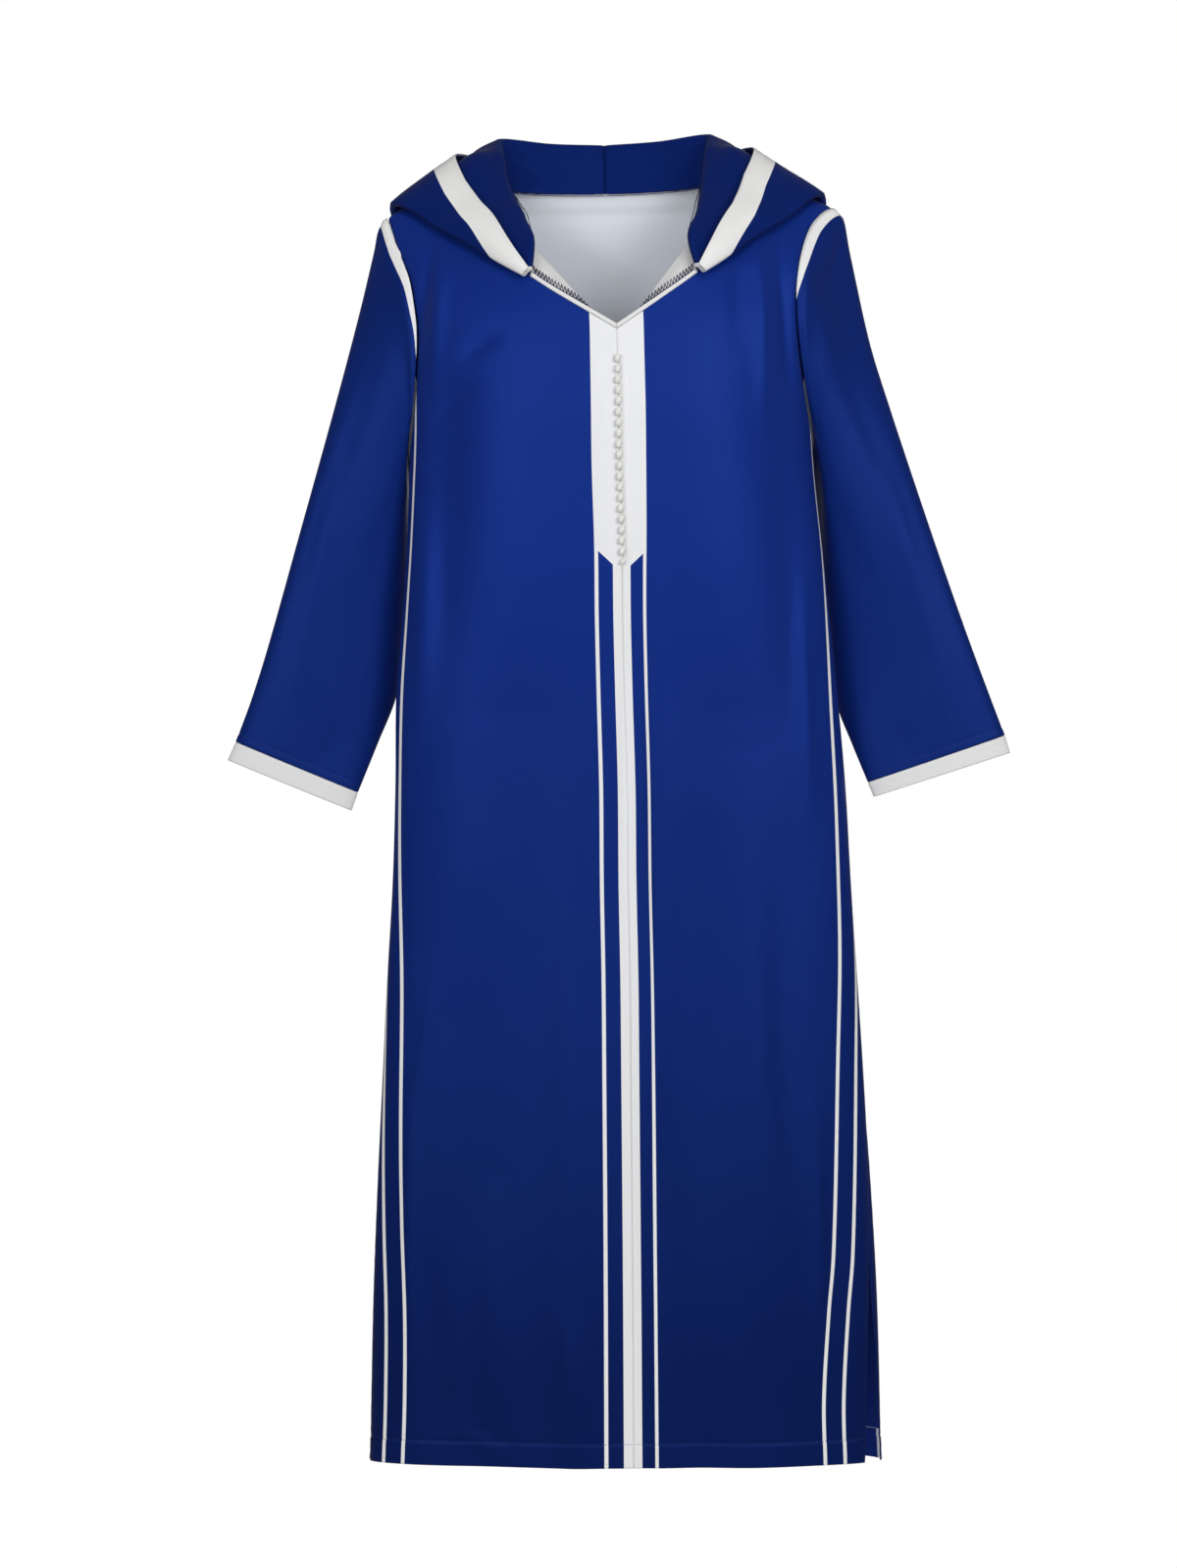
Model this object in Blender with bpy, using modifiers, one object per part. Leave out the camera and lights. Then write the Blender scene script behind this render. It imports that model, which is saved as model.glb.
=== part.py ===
"""Djellaba: a hooded, ankle-length robe with set-in sleeves, filled out as if worn.

Metres, +Z up. The front faces -Y, and left and right are as seen from the front, left at -X.
The origin is between the shoulder tips, at their height, where the wearer carries the robe.
The tables are in millimetres: h is a distance out from the centre line, y runs front to back, z up.
"""

from collections import namedtuple
import math

import bpy
import numpy as np

MM = 0.001
SIGN = {"left": -1.0, "right": 1.0}

# --- driving sizes, in millimetres ---
CLOTH = 1.2                # wall of one layer of cloth
SEAM_GAP = 0.3             # between two pieces that are sewn together
SEAM_INSET = 0.25          # each panel's edge is drawn in by this much
HEM_Z = -1328.0
VENT_TOP_Z = -1086.0       # the side slits start here
UNDERARM_Z = -250.0
SHOULDER_TIP_Z = 19.0      # top of the armhole
NECK_POINT_Z = 55.0        # where the shoulder seam meets the neck seam
SLIT_BOTTOM_Z = -117.0
BACK_NECK_Z = 51.0
PANEL_HALF = 289.0         # centre front to side seam, along the cloth
LEAN = 0.022               # the right shoulder stands this much higher, per unit across
LEAN_FADES = (-450.0, -100.0)
ARMHOLE_LIFT = 3.0         # the sleeve head laps over the panels' edges
CLEAR_OF_BODY = 4.2        # the sleeves stand at least this far out from the panels
HOOD_CLEAR_OF_BODY = 5.0
SLEEVE_EASE = 2.6          # power by which the armhole's shape fades down the sleeve
CUFF_END_AT = 1.2          # the cuff's end, where 1 is the sleeve's end
SLIT_BEND = 0.92           # power that bends the neck slit's edges a little
BACK_BEND = 1.1            # power by which the shoulders' shape fades down the back
FOLD_FADE = 0.8            # power of the sine that fades a hanging fold at its ends
SIDE_FADE = 1.6            # the hanging folds end short of the body's sides
BINDING_WIDTH = 4.5
BINDING_THICK = 2.0
BINDING_GAP = 0.5          # the panel's edge to the binding
FACING_TOP = 0.62          # share of the front neck edge that the facing is caught in
FACING_ENDS = (0.02, 0.84)  # where the facing starts and ends, as shares down the slit
FACING_IN = 1.0            # from the slit's edge into the opening
FACING_BEHIND = 0.6        # behind the panel's inner face
FACING_TOP_MOVE = (0.0, 1.5, -2.0)  # its free edge stands off the neck edge by these
FACING_BOTTOM_MOVE = (0.0, 5.0, -2.0)
BUTTON_COUNT = 20
BUTTON_TOP_Z = -148.0
BUTTON_PITCH = 11.25
BUTTON_RADII = (3.7, 2.7, 4.7)
BUTTON_CLEARANCE = 0.9     # from the cloth to the knot

# --- colours, linear ---
BLUE = (0.006, 0.028, 0.200, 1.0)
WHITE = (0.80, 0.80, 0.78, 1.0)

# Horizontal sections of the body: its centre line, half-widths and depths.
Section = namedtuple("Section", "z middle left right front back side")
SECTIONS = [
    Section(z=55, middle=-9, left=108, right=108, front=3, back=46, side=24),
    Section(z=50, middle=-8, left=145, right=145, front=4, back=49, side=22),
    Section(z=44, middle=-7, left=180, right=180, front=6, back=53, side=20),
    Section(z=37, middle=-6, left=207, right=207, front=8, back=57, side=18),
    Section(z=29, middle=-5, left=225, right=225, front=13, back=64, side=15),
    Section(z=19, middle=-3, left=240, right=240, front=22, back=70, side=11),
    Section(z=-5, middle=-3, left=245, right=245, front=43, back=79, side=8),
    Section(z=-26, middle=-2, left=243, right=243, front=63, back=86, side=7),
    Section(z=-50, middle=0, left=238, right=236, front=82, back=92, side=6),
    Section(z=-75, middle=1, left=234, right=229, front=91, back=95, side=5),
    Section(z=-106, middle=3, left=230, right=221, front=96, back=98, side=4),
    Section(z=-150, middle=4, left=226, right=213, front=97, back=99, side=3),
    Section(z=-200, middle=5, left=223, right=208, front=95, back=96, side=2),
    Section(z=-260, middle=6, left=225, right=210, front=88, back=90, side=1),
    Section(z=-344, middle=9, left=231, right=216, front=78, back=82, side=0),
    Section(z=-420, middle=10, left=237, right=223, front=69, back=77, side=0),
    Section(z=-498, middle=12, left=245, right=229, front=60, back=72, side=0),
    Section(z=-600, middle=15, left=249, right=235, front=53, back=69, side=0),
    Section(z=-705, middle=16, left=253, right=240, front=49, back=66, side=0),
    Section(z=-811, middle=18, left=261, right=245, front=48, back=64, side=0),
    Section(z=-917, middle=19, left=267, right=251, front=50, back=64, side=0),
    Section(z=-1023, middle=20, left=273, right=257, front=52, back=64, side=0),
    Section(z=-1150, middle=21, left=279, right=263, front=54, back=65, side=0),
    Section(z=-1328, middle=22, left=285, right=267, front=56, back=66, side=0),
]

# How far the printed front reaches round each side, as a share of its flat width.
Reach = namedtuple("Reach", "z left right")
REACHES = [
    Reach(z=-250, left=0.975, right=0.955),
    Reach(z=-420, left=1.00, right=0.955),
    Reach(z=-600, left=1.03, right=0.945),
    Reach(z=-811, left=1.02, right=0.935),
    Reach(z=-1023, left=1.03, right=0.915),
    Reach(z=-1328, left=1.015, right=0.875),
]

# The side slits: how far the back panel's edge stands from the front's, at the hem.
VENT_OPEN = {"left": 9.0, "right": 24.0}

# The armholes, in degrees round the body: how far each bites into front and back.
Armhole = namedtuple("Armhole", "front_bite front_skew back_bite")
ARMHOLES = {
    "left": Armhole(front_bite=30, front_skew=0.83, back_bite=27),
    "right": Armhole(front_bite=40, front_skew=0.72, back_bite=27),
}

# Broad folds: x from the centre line at the top and bottom, height in y, half-width.
Fold = namedtuple("Fold", "x_top x_bottom z_top z_bottom width height")
FRONT_FOLDS = [
    Fold(x_top=-118, x_bottom=-128, z_top=-60, z_bottom=-520, width=52, height=6),
    Fold(x_top=98, x_bottom=112, z_top=-60, z_bottom=-520, width=50, height=5),
    Fold(x_top=-178, x_bottom=-196, z_top=-140, z_bottom=-470, width=20, height=-5),
    Fold(x_top=176, x_bottom=188, z_top=-170, z_bottom=-560, width=22, height=-5),
    Fold(x_top=16, x_bottom=26, z_top=-350, z_bottom=-1150, width=15, height=-4),
    Fold(x_top=-70, x_bottom=-58, z_top=-560, z_bottom=-1500, width=34, height=6),
    Fold(x_top=-150, x_bottom=-160, z_top=-700, z_bottom=-1500, width=44, height=-6),
    Fold(x_top=78, x_bottom=70, z_top=-620, z_bottom=-1500, width=30, height=-6),
    Fold(x_top=130, x_bottom=138, z_top=-560, z_bottom=-1500, width=40, height=7),
]
BACK_FOLDS = [
    Fold(x_top=-96, x_bottom=-120, z_top=-330, z_bottom=-1500, width=38, height=9),
    Fold(x_top=-20, x_bottom=-34, z_top=-380, z_bottom=-1500, width=34, height=-8),
    Fold(x_top=52, x_bottom=64, z_top=-300, z_bottom=-1500, width=36, height=9),
    Fold(x_top=128, x_bottom=150, z_top=-420, z_bottom=-1500, width=34, height=-7),
]

# The front neck seam, from the shoulder seam to the hood's front corner.
NeckPoint = namedtuple("NeckPoint", "h z")
FRONT_NECK = [
    NeckPoint(h=108, z=55),
    NeckPoint(h=101, z=37),
    NeckPoint(h=93, z=14),
    NeckPoint(h=88, z=-9),
    NeckPoint(h=88, z=-32),
    NeckPoint(h=89.3, z=-56.5),
]

# Sleeves: the upper fold, the lower fold and the half-depth between them, shoulder to cuff seam.
Edge = namedtuple("Edge", "h y z")
UPPER_FOLD = {
    "left": [
        Edge(h=251, y=9, z=6), Edge(h=257, y=8, z=-19), Edge(h=273, y=8, z=-83),
        Edge(h=299, y=8, z=-179), Edge(h=335, y=10, z=-309), Edge(h=371, y=13, z=-439),
        Edge(h=391, y=15, z=-503), Edge(h=409, y=16, z=-552),
    ],
    "right": [
        Edge(h=247, y=9, z=6), Edge(h=255, y=8, z=-31), Edge(h=277, y=8, z=-127),
        Edge(h=297, y=8, z=-190), Edge(h=340, y=10, z=-314), Edge(h=385, y=13, z=-439),
        Edge(h=409, y=15, z=-503), Edge(h=425, y=16, z=-545),
    ],
}
LOWER_FOLD = {
    "left": [
        Edge(h=213, y=42, z=-300), Edge(h=220, y=46, z=-380), Edge(h=228, y=45, z=-440),
        Edge(h=235, y=43, z=-499), Edge(h=256, y=34, z=-554), Edge(h=277, y=24, z=-607),
    ],
    "right": [
        Edge(h=214, y=42, z=-300), Edge(h=223, y=46, z=-380), Edge(h=233, y=45, z=-440),
        Edge(h=244, y=42, z=-510), Edge(h=261, y=32, z=-556), Edge(h=277, y=24, z=-596),
    ],
}
CUFF_END = {
    "left": (Edge(h=418, y=16, z=-572), Edge(h=284, y=24, z=-627)),
    "right": (Edge(h=431, y=16, z=-564), Edge(h=283.5, y=24, z=-612)),
}
# Half the sleeve's thickness from front to back, from the shoulder (0) to the cuff's end.
Depth = namedtuple("Depth", "at depth")
SLEEVE_DEPTHS = [
    Depth(at=0.0, depth=44), Depth(at=0.15, depth=40), Depth(at=0.3, depth=33),
    Depth(at=0.5, depth=26), Depth(at=0.75, depth=20), Depth(at=1.0, depth=14),
    Depth(at=CUFF_END_AT, depth=13),
]

# The hood, folded back into a pouch. Each row runs from the neck seam over the roll, under
# to the pouch's fold and back over to the rim of the face opening. The first value is the
# row's place along the neck seam, 0 at the front corner and 1 at the centre back.
HoodRow = namedtuple("HoodRow", "at roll under fold over rim")
HOOD_ROWS = [
    HoodRow(0.00, (90, -80, -54), (94, -81, -58), (98, -82, -62), (96, -88, -58), (91, -88, -52)),
    HoodRow(0.14, (84, -64, -16), (101, -67, -30), (118, -71, -41), (112, -78, -34), (104, -76, -25)),
    HoodRow(0.28, (95, -38, 12), (122, -44, -3), (151, -48, -17), (140, -56, -4), (122, -52, 8)),
    HoodRow(0.42, (106, -5, 46), (144, -16, 27), (186, -25, 6), (168, -32, 20), (141, -24, 38)),
    HoodRow(0.55, (112, 28, 86), (146, 24, 86), (231, 15, 37), (188, 15, 69), (162, 23, 87)),
    HoodRow(0.62, (115, 48, 101), (146, 56, 91), (231, 54, 6), (190, 70, 60), (154, 68, 97)),
    HoodRow(0.70, (113, 67, 111), (140, 84, 92), (211, 94, -50), (178, 114, 26), (134, 104, 96)),
    HoodRow(0.85, (60, 85, 107), (76, 112, 0), (112, 126, -180), (88, 146, -50), (66, 118, 74)),
    HoodRow(1.00, (0, 92, 105), (0, 119, -30), (0, 125, -270), (0, 152, -85), (0, 128, 66)),
]
HOOD_SEAM_INSET = 1.1      # at the centre seam, where the pouch comes to a point
HOOD_TURN = 2.7            # half the width of the roll and of the pouch's fold
HOOD_START = (0.9, 2.8)    # out from the neck seam, and up towards the roll
HOOD_LAYER_GAP = 0.2       # each layer stands this far from the surface between them

# --- how finely the cloth is divided ---
NECK_ROWS = 5
SLIT_ROWS = 3
CHEST_ROWS = 3
SKIRT_ROWS = 8
PANEL_COLUMNS = 7
BACK_NECK_COLUMNS = 8
NECK_SPLIT = NECK_ROWS / (NECK_ROWS + BACK_NECK_COLUMNS / 2)  # the shoulder seam's place
SLEEVE_RINGS = 9
HOOD_STATIONS = (0, 0.12, 0.24, 0.36, 0.47, 0.55, 0.6, 0.66, 0.75, 0.87, 1)
HOOD_STEPS = (2, 1, 3, 3, 1, 3, 2)
FACING_COLUMNS = 3


# ---------------------------------------------------------------- curves

def unit(vectors):
    """The vectors made one long."""
    return vectors / np.maximum(np.linalg.norm(vectors, axis=-1, keepdims=True), 1e-9)


def hermite(xs, ys, x):
    """A smooth curve through the points: cubic Hermite with slopes from each point's neighbours."""
    xs = np.asarray(xs, float)
    ys = np.asarray(ys, float)
    if xs[0] > xs[-1]:
        xs, ys = xs[::-1], ys[::-1]
    steps = np.diff(xs)
    slopes = np.diff(ys, axis=0) / (steps if ys.ndim == 1 else steps[:, None])
    spans = xs[2:] - xs[:-2]
    inner = (ys[2:] - ys[:-2]) / (spans if ys.ndim == 1 else spans[:, None])
    tangents = np.concatenate([slopes[:1], inner, slopes[-1:]])
    x = np.clip(np.asarray(x, float), xs[0], xs[-1])
    i = np.clip(np.searchsorted(xs, x) - 1, 0, len(steps) - 1)
    t = (x - xs[i]) / steps[i]
    width = steps[i]
    if ys.ndim == 2:
        t, width = t[..., None], width[..., None]
    return ((2 * t**3 - 3 * t**2 + 1) * ys[i] + (t**3 - 2 * t**2 + t) * width * tangents[i]
            + (3 * t**2 - 2 * t**3) * ys[i + 1] + (t**3 - t**2) * width * tangents[i + 1])


def travelled(points):
    """The length along a chain of points up to each of them."""
    return np.concatenate([[0], np.cumsum(np.linalg.norm(np.diff(points, axis=0), axis=1))])


def along(points, share):
    """Points at these shares of the length of a smooth curve through the given points."""
    points = np.asarray(points, float)
    at = travelled(points)
    return hermite(at, points, np.asarray(share) * at[-1])


def through(points, steps):
    """A smooth curve through the given points, with its own number of steps between each two."""
    at = travelled(points)
    stops = [np.linspace(at[i], at[i + 1], n, endpoint=False) for i, n in enumerate(steps)]
    return hermite(at, points, np.concatenate(stops + [at[-1:]]))


def smoothstep(low, high, x):
    """0 below low, 1 above high, and a smooth rise between."""
    t = np.clip((x - low) / (high - low), 0, 1)
    return t * t * (3 - 2 * t)


def column(rows, name, z):
    """One column of a table as a smooth function of z."""
    return hermite([row.z for row in rows], [getattr(row, name) for row in rows], z)


# ---------------------------------------------------------------- the body's surface

def fold_height(folds, x, z):
    """Sum of the folds' heights at a point: each is a bell across and fades at its ends."""
    total = np.zeros(np.broadcast(x, z).shape)
    for fold in folds:
        share = np.clip((fold.z_top - z) / (fold.z_top - fold.z_bottom), 0, 1)
        centre = fold.x_top + (fold.x_bottom - fold.x_top) * share
        fade = np.sin(math.pi * share) ** FOLD_FADE
        total = total + fold.height * fade * np.exp(-(((x - centre) / fold.width) ** 2))
    return total


def body(angle, z):
    """The body's surface. Angle is in radians round it: 0 at the centre front, negative to
    the left, and a half turn at the centre back. Each section is four quarter ellipses."""
    angle, z = np.broadcast_arrays(np.asarray(angle, float), np.asarray(z, float))
    across, ahead = np.sin(angle), np.cos(angle)
    half = np.where(across < 0, column(SECTIONS, "left", z), column(SECTIONS, "right", z))
    depth = np.where(ahead > 0, column(SECTIONS, "front", z), column(SECTIONS, "back", z))
    x = half * across
    y = column(SECTIONS, "side", z) - depth * ahead
    side_fade = np.clip(np.abs(ahead) * SIDE_FADE, 0, 1)
    folds = np.where(ahead > 0, -fold_height(FRONT_FOLDS, x, z), fold_height(BACK_FOLDS, x, z))
    return np.stack([column(SECTIONS, "middle", z) + x, y + folds * side_fade, z], axis=-1)


def body_normal(angle, z):
    """Unit outward direction of the body's surface, from its two slopes."""
    turn, rise = 0.001, 1.0
    z = np.asarray(z, float)
    round_it = body(angle + turn, z) - body(angle - turn, z)
    up_it = body(angle, z + rise) - body(angle, z - rise)
    return unit(np.cross(round_it, up_it))


def angle_at(distance, z, side):
    """The angle round the body that lies this far along the cloth from the centre front."""
    sign = SIGN[side]
    fan = np.linspace(0, math.pi * 0.9, 200)
    half = column(SECTIONS, side, z)
    front, back = column(SECTIONS, "front", z), column(SECTIONS, "back", z)
    result = np.empty(len(z))
    for i in range(len(z)):
        depth = np.where(fan < math.pi / 2, front[i], back[i])
        outline = np.stack([half[i] * np.sin(fan), depth * np.cos(fan)], axis=-1)
        result[i] = sign * np.interp(distance[i], travelled(outline), fan)
    return result


def clear_of_body(points, gap):
    """Moves points that are closer to the body's surface than the gap out along its normal."""
    points = points.copy()
    for _ in range(3):
        z = points[..., 2]
        x = points[..., 0] - column(SECTIONS, "middle", z)
        y = points[..., 1] - column(SECTIONS, "side", z)
        half = np.where(x < 0, column(SECTIONS, "left", z), column(SECTIONS, "right", z))
        depth = np.where(y < 0, column(SECTIONS, "front", z), column(SECTIONS, "back", z))
        angle = np.arctan2(x / half, -y / depth)
        normal = body_normal(angle, z)
        distance = np.sum((points - body(angle, z)) * normal, axis=-1)
        push = np.where(z < SHOULDER_TIP_Z, np.maximum(gap - distance, 0), 0)
        points += normal * push[..., None]
    return points


def lean(points):
    """Lifts the right shoulder a little and lowers the left; the hem stays level."""
    moved = points.copy()
    moved[..., 2] += LEAN * points[..., 0] * smoothstep(*LEAN_FADES, points[..., 2])
    return moved


# ---------------------------------------------------------------- seam lines

def armhole(side, half, share):
    """Angle and z down one half ("front" or "back") of an armhole, shoulder tip to underarm."""
    cut = ARMHOLES[side]
    share = np.asarray(share, float)
    sign = SIGN[side]
    underarm = abs(side_seam(side, np.array([UNDERARM_Z]))[0])
    if half == "front":
        bite = cut.front_bite * np.sin(math.pi * share ** cut.front_skew)
    else:
        bite = -cut.back_bite * np.sin(math.pi * share)
    angle = (math.pi / 2) * (1 - share) + underarm * share - np.radians(bite)
    z = SHOULDER_TIP_Z + (UNDERARM_Z - SHOULDER_TIP_Z) * (0.5 - 0.5 * np.cos(math.pi * share))
    return sign * angle, z


def side_seam(side, z):
    """Angle of the side seam and of the front panel's edge along the slit."""
    z = np.asarray(z, float)
    return angle_at(PANEL_HALF * column(REACHES, side, z), z, side)


def back_edge(side, z):
    """Angle of the back panel's edge: on the side seam, and standing off it down the slit."""
    opening = VENT_OPEN[side] * smoothstep(-VENT_TOP_Z, -HEM_Z, -z)
    return angle_at(PANEL_HALF * column(REACHES, side, z) + opening, z, side)


def panel_rows(neck, slit, chest, skirt):
    """Where the rows of a panel stand, on a scale with 0 at the shoulder seam, 1 at the hood's
    corner, 2 at the bottom of the neck slit, 3 at the underarm and 4 at the hem."""
    counts = (neck, slit, chest, skirt)
    parts = [np.linspace(i, i + 1, n, endpoint=False) for i, n in enumerate(counts)]
    return np.concatenate(parts + [[4.0]])


def skirt_z(at):
    """Height of a row below the underarm."""
    return UNDERARM_Z + (HEM_Z - UNDERARM_Z) * (at - 3)


def armhole_share(at):
    """Share of the way down the armhole where a row meets it."""
    return np.clip(np.interp(at, [0, 1, 2, 3], [0, 0.42, 0.66, 1.0]), 0, 1)


def front_inner_edge(side, at):
    """Angle and z of a front panel's inner edge: neck seam, slit, then the centre front."""
    sign = SIGN[side]
    neck_h, neck_z = hermite(np.linspace(0, 1, len(FRONT_NECK)), FRONT_NECK, np.clip(at, 0, 1)).T
    neck_angle = np.arcsin(np.clip(neck_h / column(SECTIONS, side, neck_z), 0, 1))
    down_slit = np.clip(at - 1, 0, 1)
    corner = FRONT_NECK[-1]
    corner_angle = np.arcsin(corner.h / column(SECTIONS, side, corner.z))
    slit_angle = corner_angle * (1 - down_slit)
    slit_z = corner.z + (SLIT_BOTTOM_Z - corner.z) * down_slit ** SLIT_BEND
    chest_z = SLIT_BOTTOM_Z + (UNDERARM_Z - SLIT_BOTTOM_Z) * np.clip(at - 2, 0, 1)
    angle = np.where(at < 1, neck_angle, slit_angle)
    z = np.select([at < 1, at < 2, at < 3], [neck_z, slit_z, chest_z], skirt_z(at))
    return sign * angle, z


def outer_edge(side, half, at):
    """Angle and z of a panel's outer edge: armhole, then side seam and slit."""
    hole_angle, hole_z = armhole(side, half, armhole_share(at))
    z = np.where(at < 3, hole_z, skirt_z(at))
    low = np.minimum(z, UNDERARM_Z)
    seam = side_seam(side, low) if half == "front" else back_edge(side, low)
    return np.where(at < 3, hole_angle, seam), z


def neck_seam(side, share):
    """Angle and z round half the neck seam: 0 at the hood's front corner, 1 at the centre back."""
    share = np.asarray(share, float)
    sign = SIGN[side]
    front_angle, front_z = front_inner_edge(side, np.clip(1 - share / NECK_SPLIT, 0, 1))
    round_back = np.clip((share - NECK_SPLIT) / (1 - NECK_SPLIT), 0, 1)
    back_angle = sign * (math.pi / 2) * (1 + round_back)
    back_z = NECK_POINT_Z + (BACK_NECK_Z - NECK_POINT_Z) * np.sin(math.pi / 2 * round_back)
    return (np.where(share < NECK_SPLIT, front_angle, back_angle),
            np.where(share < NECK_SPLIT, front_z, back_z))


# ---------------------------------------------------------------- panels as grids of points

def front_grid(side, rows, columns):
    """A front panel: rows run from its inner edge to its outer edge on the body's surface."""
    in_angle, in_z = front_inner_edge(side, rows)
    out_angle, out_z = outer_edge(side, "front", rows)
    share = np.linspace(0, 1, columns + 1)
    angle = in_angle[:, None] * (1 - share) + out_angle[:, None] * share
    z = in_z[:, None] * (1 - share) + out_z[:, None] * share
    return body(angle, z)


def back_grid(rows, shoulder_columns, neck_columns):
    """The back panel: a patch between shoulders and neck, both armholes and seams, and hem."""
    left_angle, left_z = outer_edge("left", "back", rows)
    right_angle, right_z = outer_edge("right", "back", rows)
    right_angle = right_angle - 2 * math.pi
    shoulder = np.linspace(0, 1, shoulder_columns + 1)
    rise = SHOULDER_TIP_Z + (NECK_POINT_Z - SHOULDER_TIP_Z) * shoulder
    neck = np.linspace(0, 1, neck_columns // 2 + 1)[1:]
    neck_angle, neck_z = neck_seam("left", 1 - (1 - neck) * (1 - NECK_SPLIT))
    half_angle = np.concatenate([np.full(len(shoulder), -math.pi / 2), neck_angle])
    half_z = np.concatenate([rise, neck_z])
    top_angle = np.concatenate([half_angle, -2 * math.pi - half_angle[-2::-1]])
    top_z = np.concatenate([half_z, half_z[-2::-1]])
    across = np.linspace(0, 1, len(top_angle))
    down = np.clip(rows / 3, 0, 1) ** BACK_BEND
    straight_angle = left_angle[:, None] * (1 - across) + right_angle[:, None] * across
    straight_z = left_z[:, None] * (1 - across) + right_z[:, None] * across
    bend_angle = top_angle - straight_angle[0]
    bend_z = top_z - straight_z[0]
    fade = (1 - down)[:, None]
    return body(straight_angle + bend_angle * fade, straight_z + bend_z * fade)


def armhole_ring(side, rows):
    """Angle and z round an armhole: down its front and back up, without the repeated tip."""
    share = armhole_share(rows[rows <= 3])
    front = armhole(side, "front", share)
    back = armhole(side, "back", share[-2:0:-1])
    return np.concatenate([front[0], back[0]]), np.concatenate([front[1], back[1]])


def sleeve_ring(side, at, turn):
    """A ring of the flattened sleeve. At is 0 at the shoulder, 1 at the cuff seam and more down
    the cuff; turn is 0 at the upper fold and half a turn at the lower."""
    sign = SIGN[side]
    tip = body(np.array([sign * math.pi / 2]), np.array([SHOULDER_TIP_Z]))[0]
    under = body(*[np.array(v) for v in armhole(side, "front", [1.0])])[0]
    upper = [tip] + [(sign * e.h, e.y, e.z) for e in UPPER_FOLD[side]]
    lower = [under] + [(sign * e.h, e.y, e.z) for e in LOWER_FOLD[side]]
    outer, inner = along(upper, min(at, 1.0)), along(lower, min(at, 1.0))
    if at > 1:
        ends = [np.array((sign * e.h, e.y, e.z)) for e in CUFF_END[side]]
        down_cuff = (at - 1) / (CUFF_END_AT - 1)
        outer = outer + (ends[0] - outer) * down_cuff
        inner = inner + (ends[1] - inner) * down_cuff
    depth = np.interp(at, *zip(*SLEEVE_DEPTHS))
    ring = (outer + inner) / 2 + np.outer(np.cos(turn), (outer - inner) / 2)
    ring[:, 1] -= depth * np.sin(turn)
    return ring


def sleeve_turns(rows):
    """The angles round a sleeve that meet the panels' rows at the armhole."""
    share = armhole_share(rows[rows <= 3])
    return math.pi * np.concatenate([share, 2 - share[-2:0:-1]])


def sleeve_grid(side, rows, rings):
    """A sleeve: its first ring is the armhole, eased into the flattened tube below."""
    turn = sleeve_turns(rows)
    angle, z = armhole_ring(side, rows)
    hole = body(angle, z) + body_normal(angle, z) * ARMHOLE_LIFT
    start = sleeve_ring(side, 0.0, turn)
    grid = []
    for at in np.linspace(0, 1, rings + 1):
        ring = sleeve_ring(side, at, turn) + (hole - start) * (1 - at) ** SLEEVE_EASE
        grid.append(hole if at == 0 else clear_of_body(ring, CLEAR_OF_BODY))
    return np.array(grid)


def cuff_grid(side, rows):
    """A cuff band: from just below the sleeve's end to the sleeve's opening."""
    turn = sleeve_turns(rows)
    return np.array([sleeve_ring(side, at, turn) for at in (1.0, CUFF_END_AT)])


def turn_ends(before, point, after):
    """The two ends of a rounded turn at a point, set apart square to the way that it points."""
    tip = unit(unit(point - before) + unit(point - after))
    way = after - before
    way = unit(way - tip * np.sum(way * tip, axis=1, keepdims=True))
    return point - way * HOOD_TURN, point + way * HOOD_TURN


def hood_grid(side, share, steps):
    """The surface between the hood's two layers: rows along the neck seam, each a path from
    the seam over the roll, down to the pouch's fold and back to the rim."""
    sign = SIGN[side]
    share = np.asarray(share, float)
    angle, z = neck_seam(side, share)
    seam = body(angle, z)
    at = [row.at for row in HOOD_ROWS]
    marks = [hermite(at, [getattr(row, name) for row in HOOD_ROWS], share)
             for name in ("roll", "under", "fold", "over", "rim")]
    for mark in marks:
        middle = column(SECTIONS, "middle", np.clip(mark[:, 2], HEM_Z, NECK_POINT_Z))
        mark[:, 0] = middle + sign * mark[:, 0]
    roll, under, fold, over, rim = marks
    start = seam + body_normal(angle, z) * HOOD_START[0] + unit(roll - seam) * HOOD_START[1]
    corners = np.stack([start, *turn_ends(start, roll, under), under,
                        *turn_ends(under, fold, over), over, rim], axis=1)
    points = np.array([through(row, steps) for row in corners])
    gap = np.full(points.shape[1], HOOD_CLEAR_OF_BODY)
    gap[:steps[0]] = 0
    return clear_of_body(points, gap)


def slit_edge(side, share):
    """Points down one edge of the neck slit, corner to bottom, and the way into the opening."""
    angle, z = front_inner_edge(side, 1 + np.asarray(share))
    points = body(angle, z)
    normal = body_normal(angle, z)
    across = np.cross(normal, unit(np.gradient(points, axis=0))) * -SIGN[side]
    return points, across, normal


def binding_grid(side, steps):
    """The narrow binding on the slit's edge, standing into the opening."""
    points, across, _ = slit_edge(side, np.linspace(0, 1, steps + 1))
    edges = [mitred(side, points, points + across * reach)
             for reach in (BINDING_GAP, BINDING_GAP + BINDING_WIDTH)]
    return np.stack(edges, axis=1)


def mitred(side, edge, line):
    """A line beside the slit's edge, slid back along it where it would cross the centre front."""
    sign = SIGN[side]
    middle = column(SECTIONS, "middle", line[:, 2])
    down = unit(np.gradient(edge, axis=0))
    short = np.maximum(0, SEAM_GAP - sign * (line[:, 0] - middle))
    return line - down * (short / (-sign * down[:, 0]))[:, None]


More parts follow.
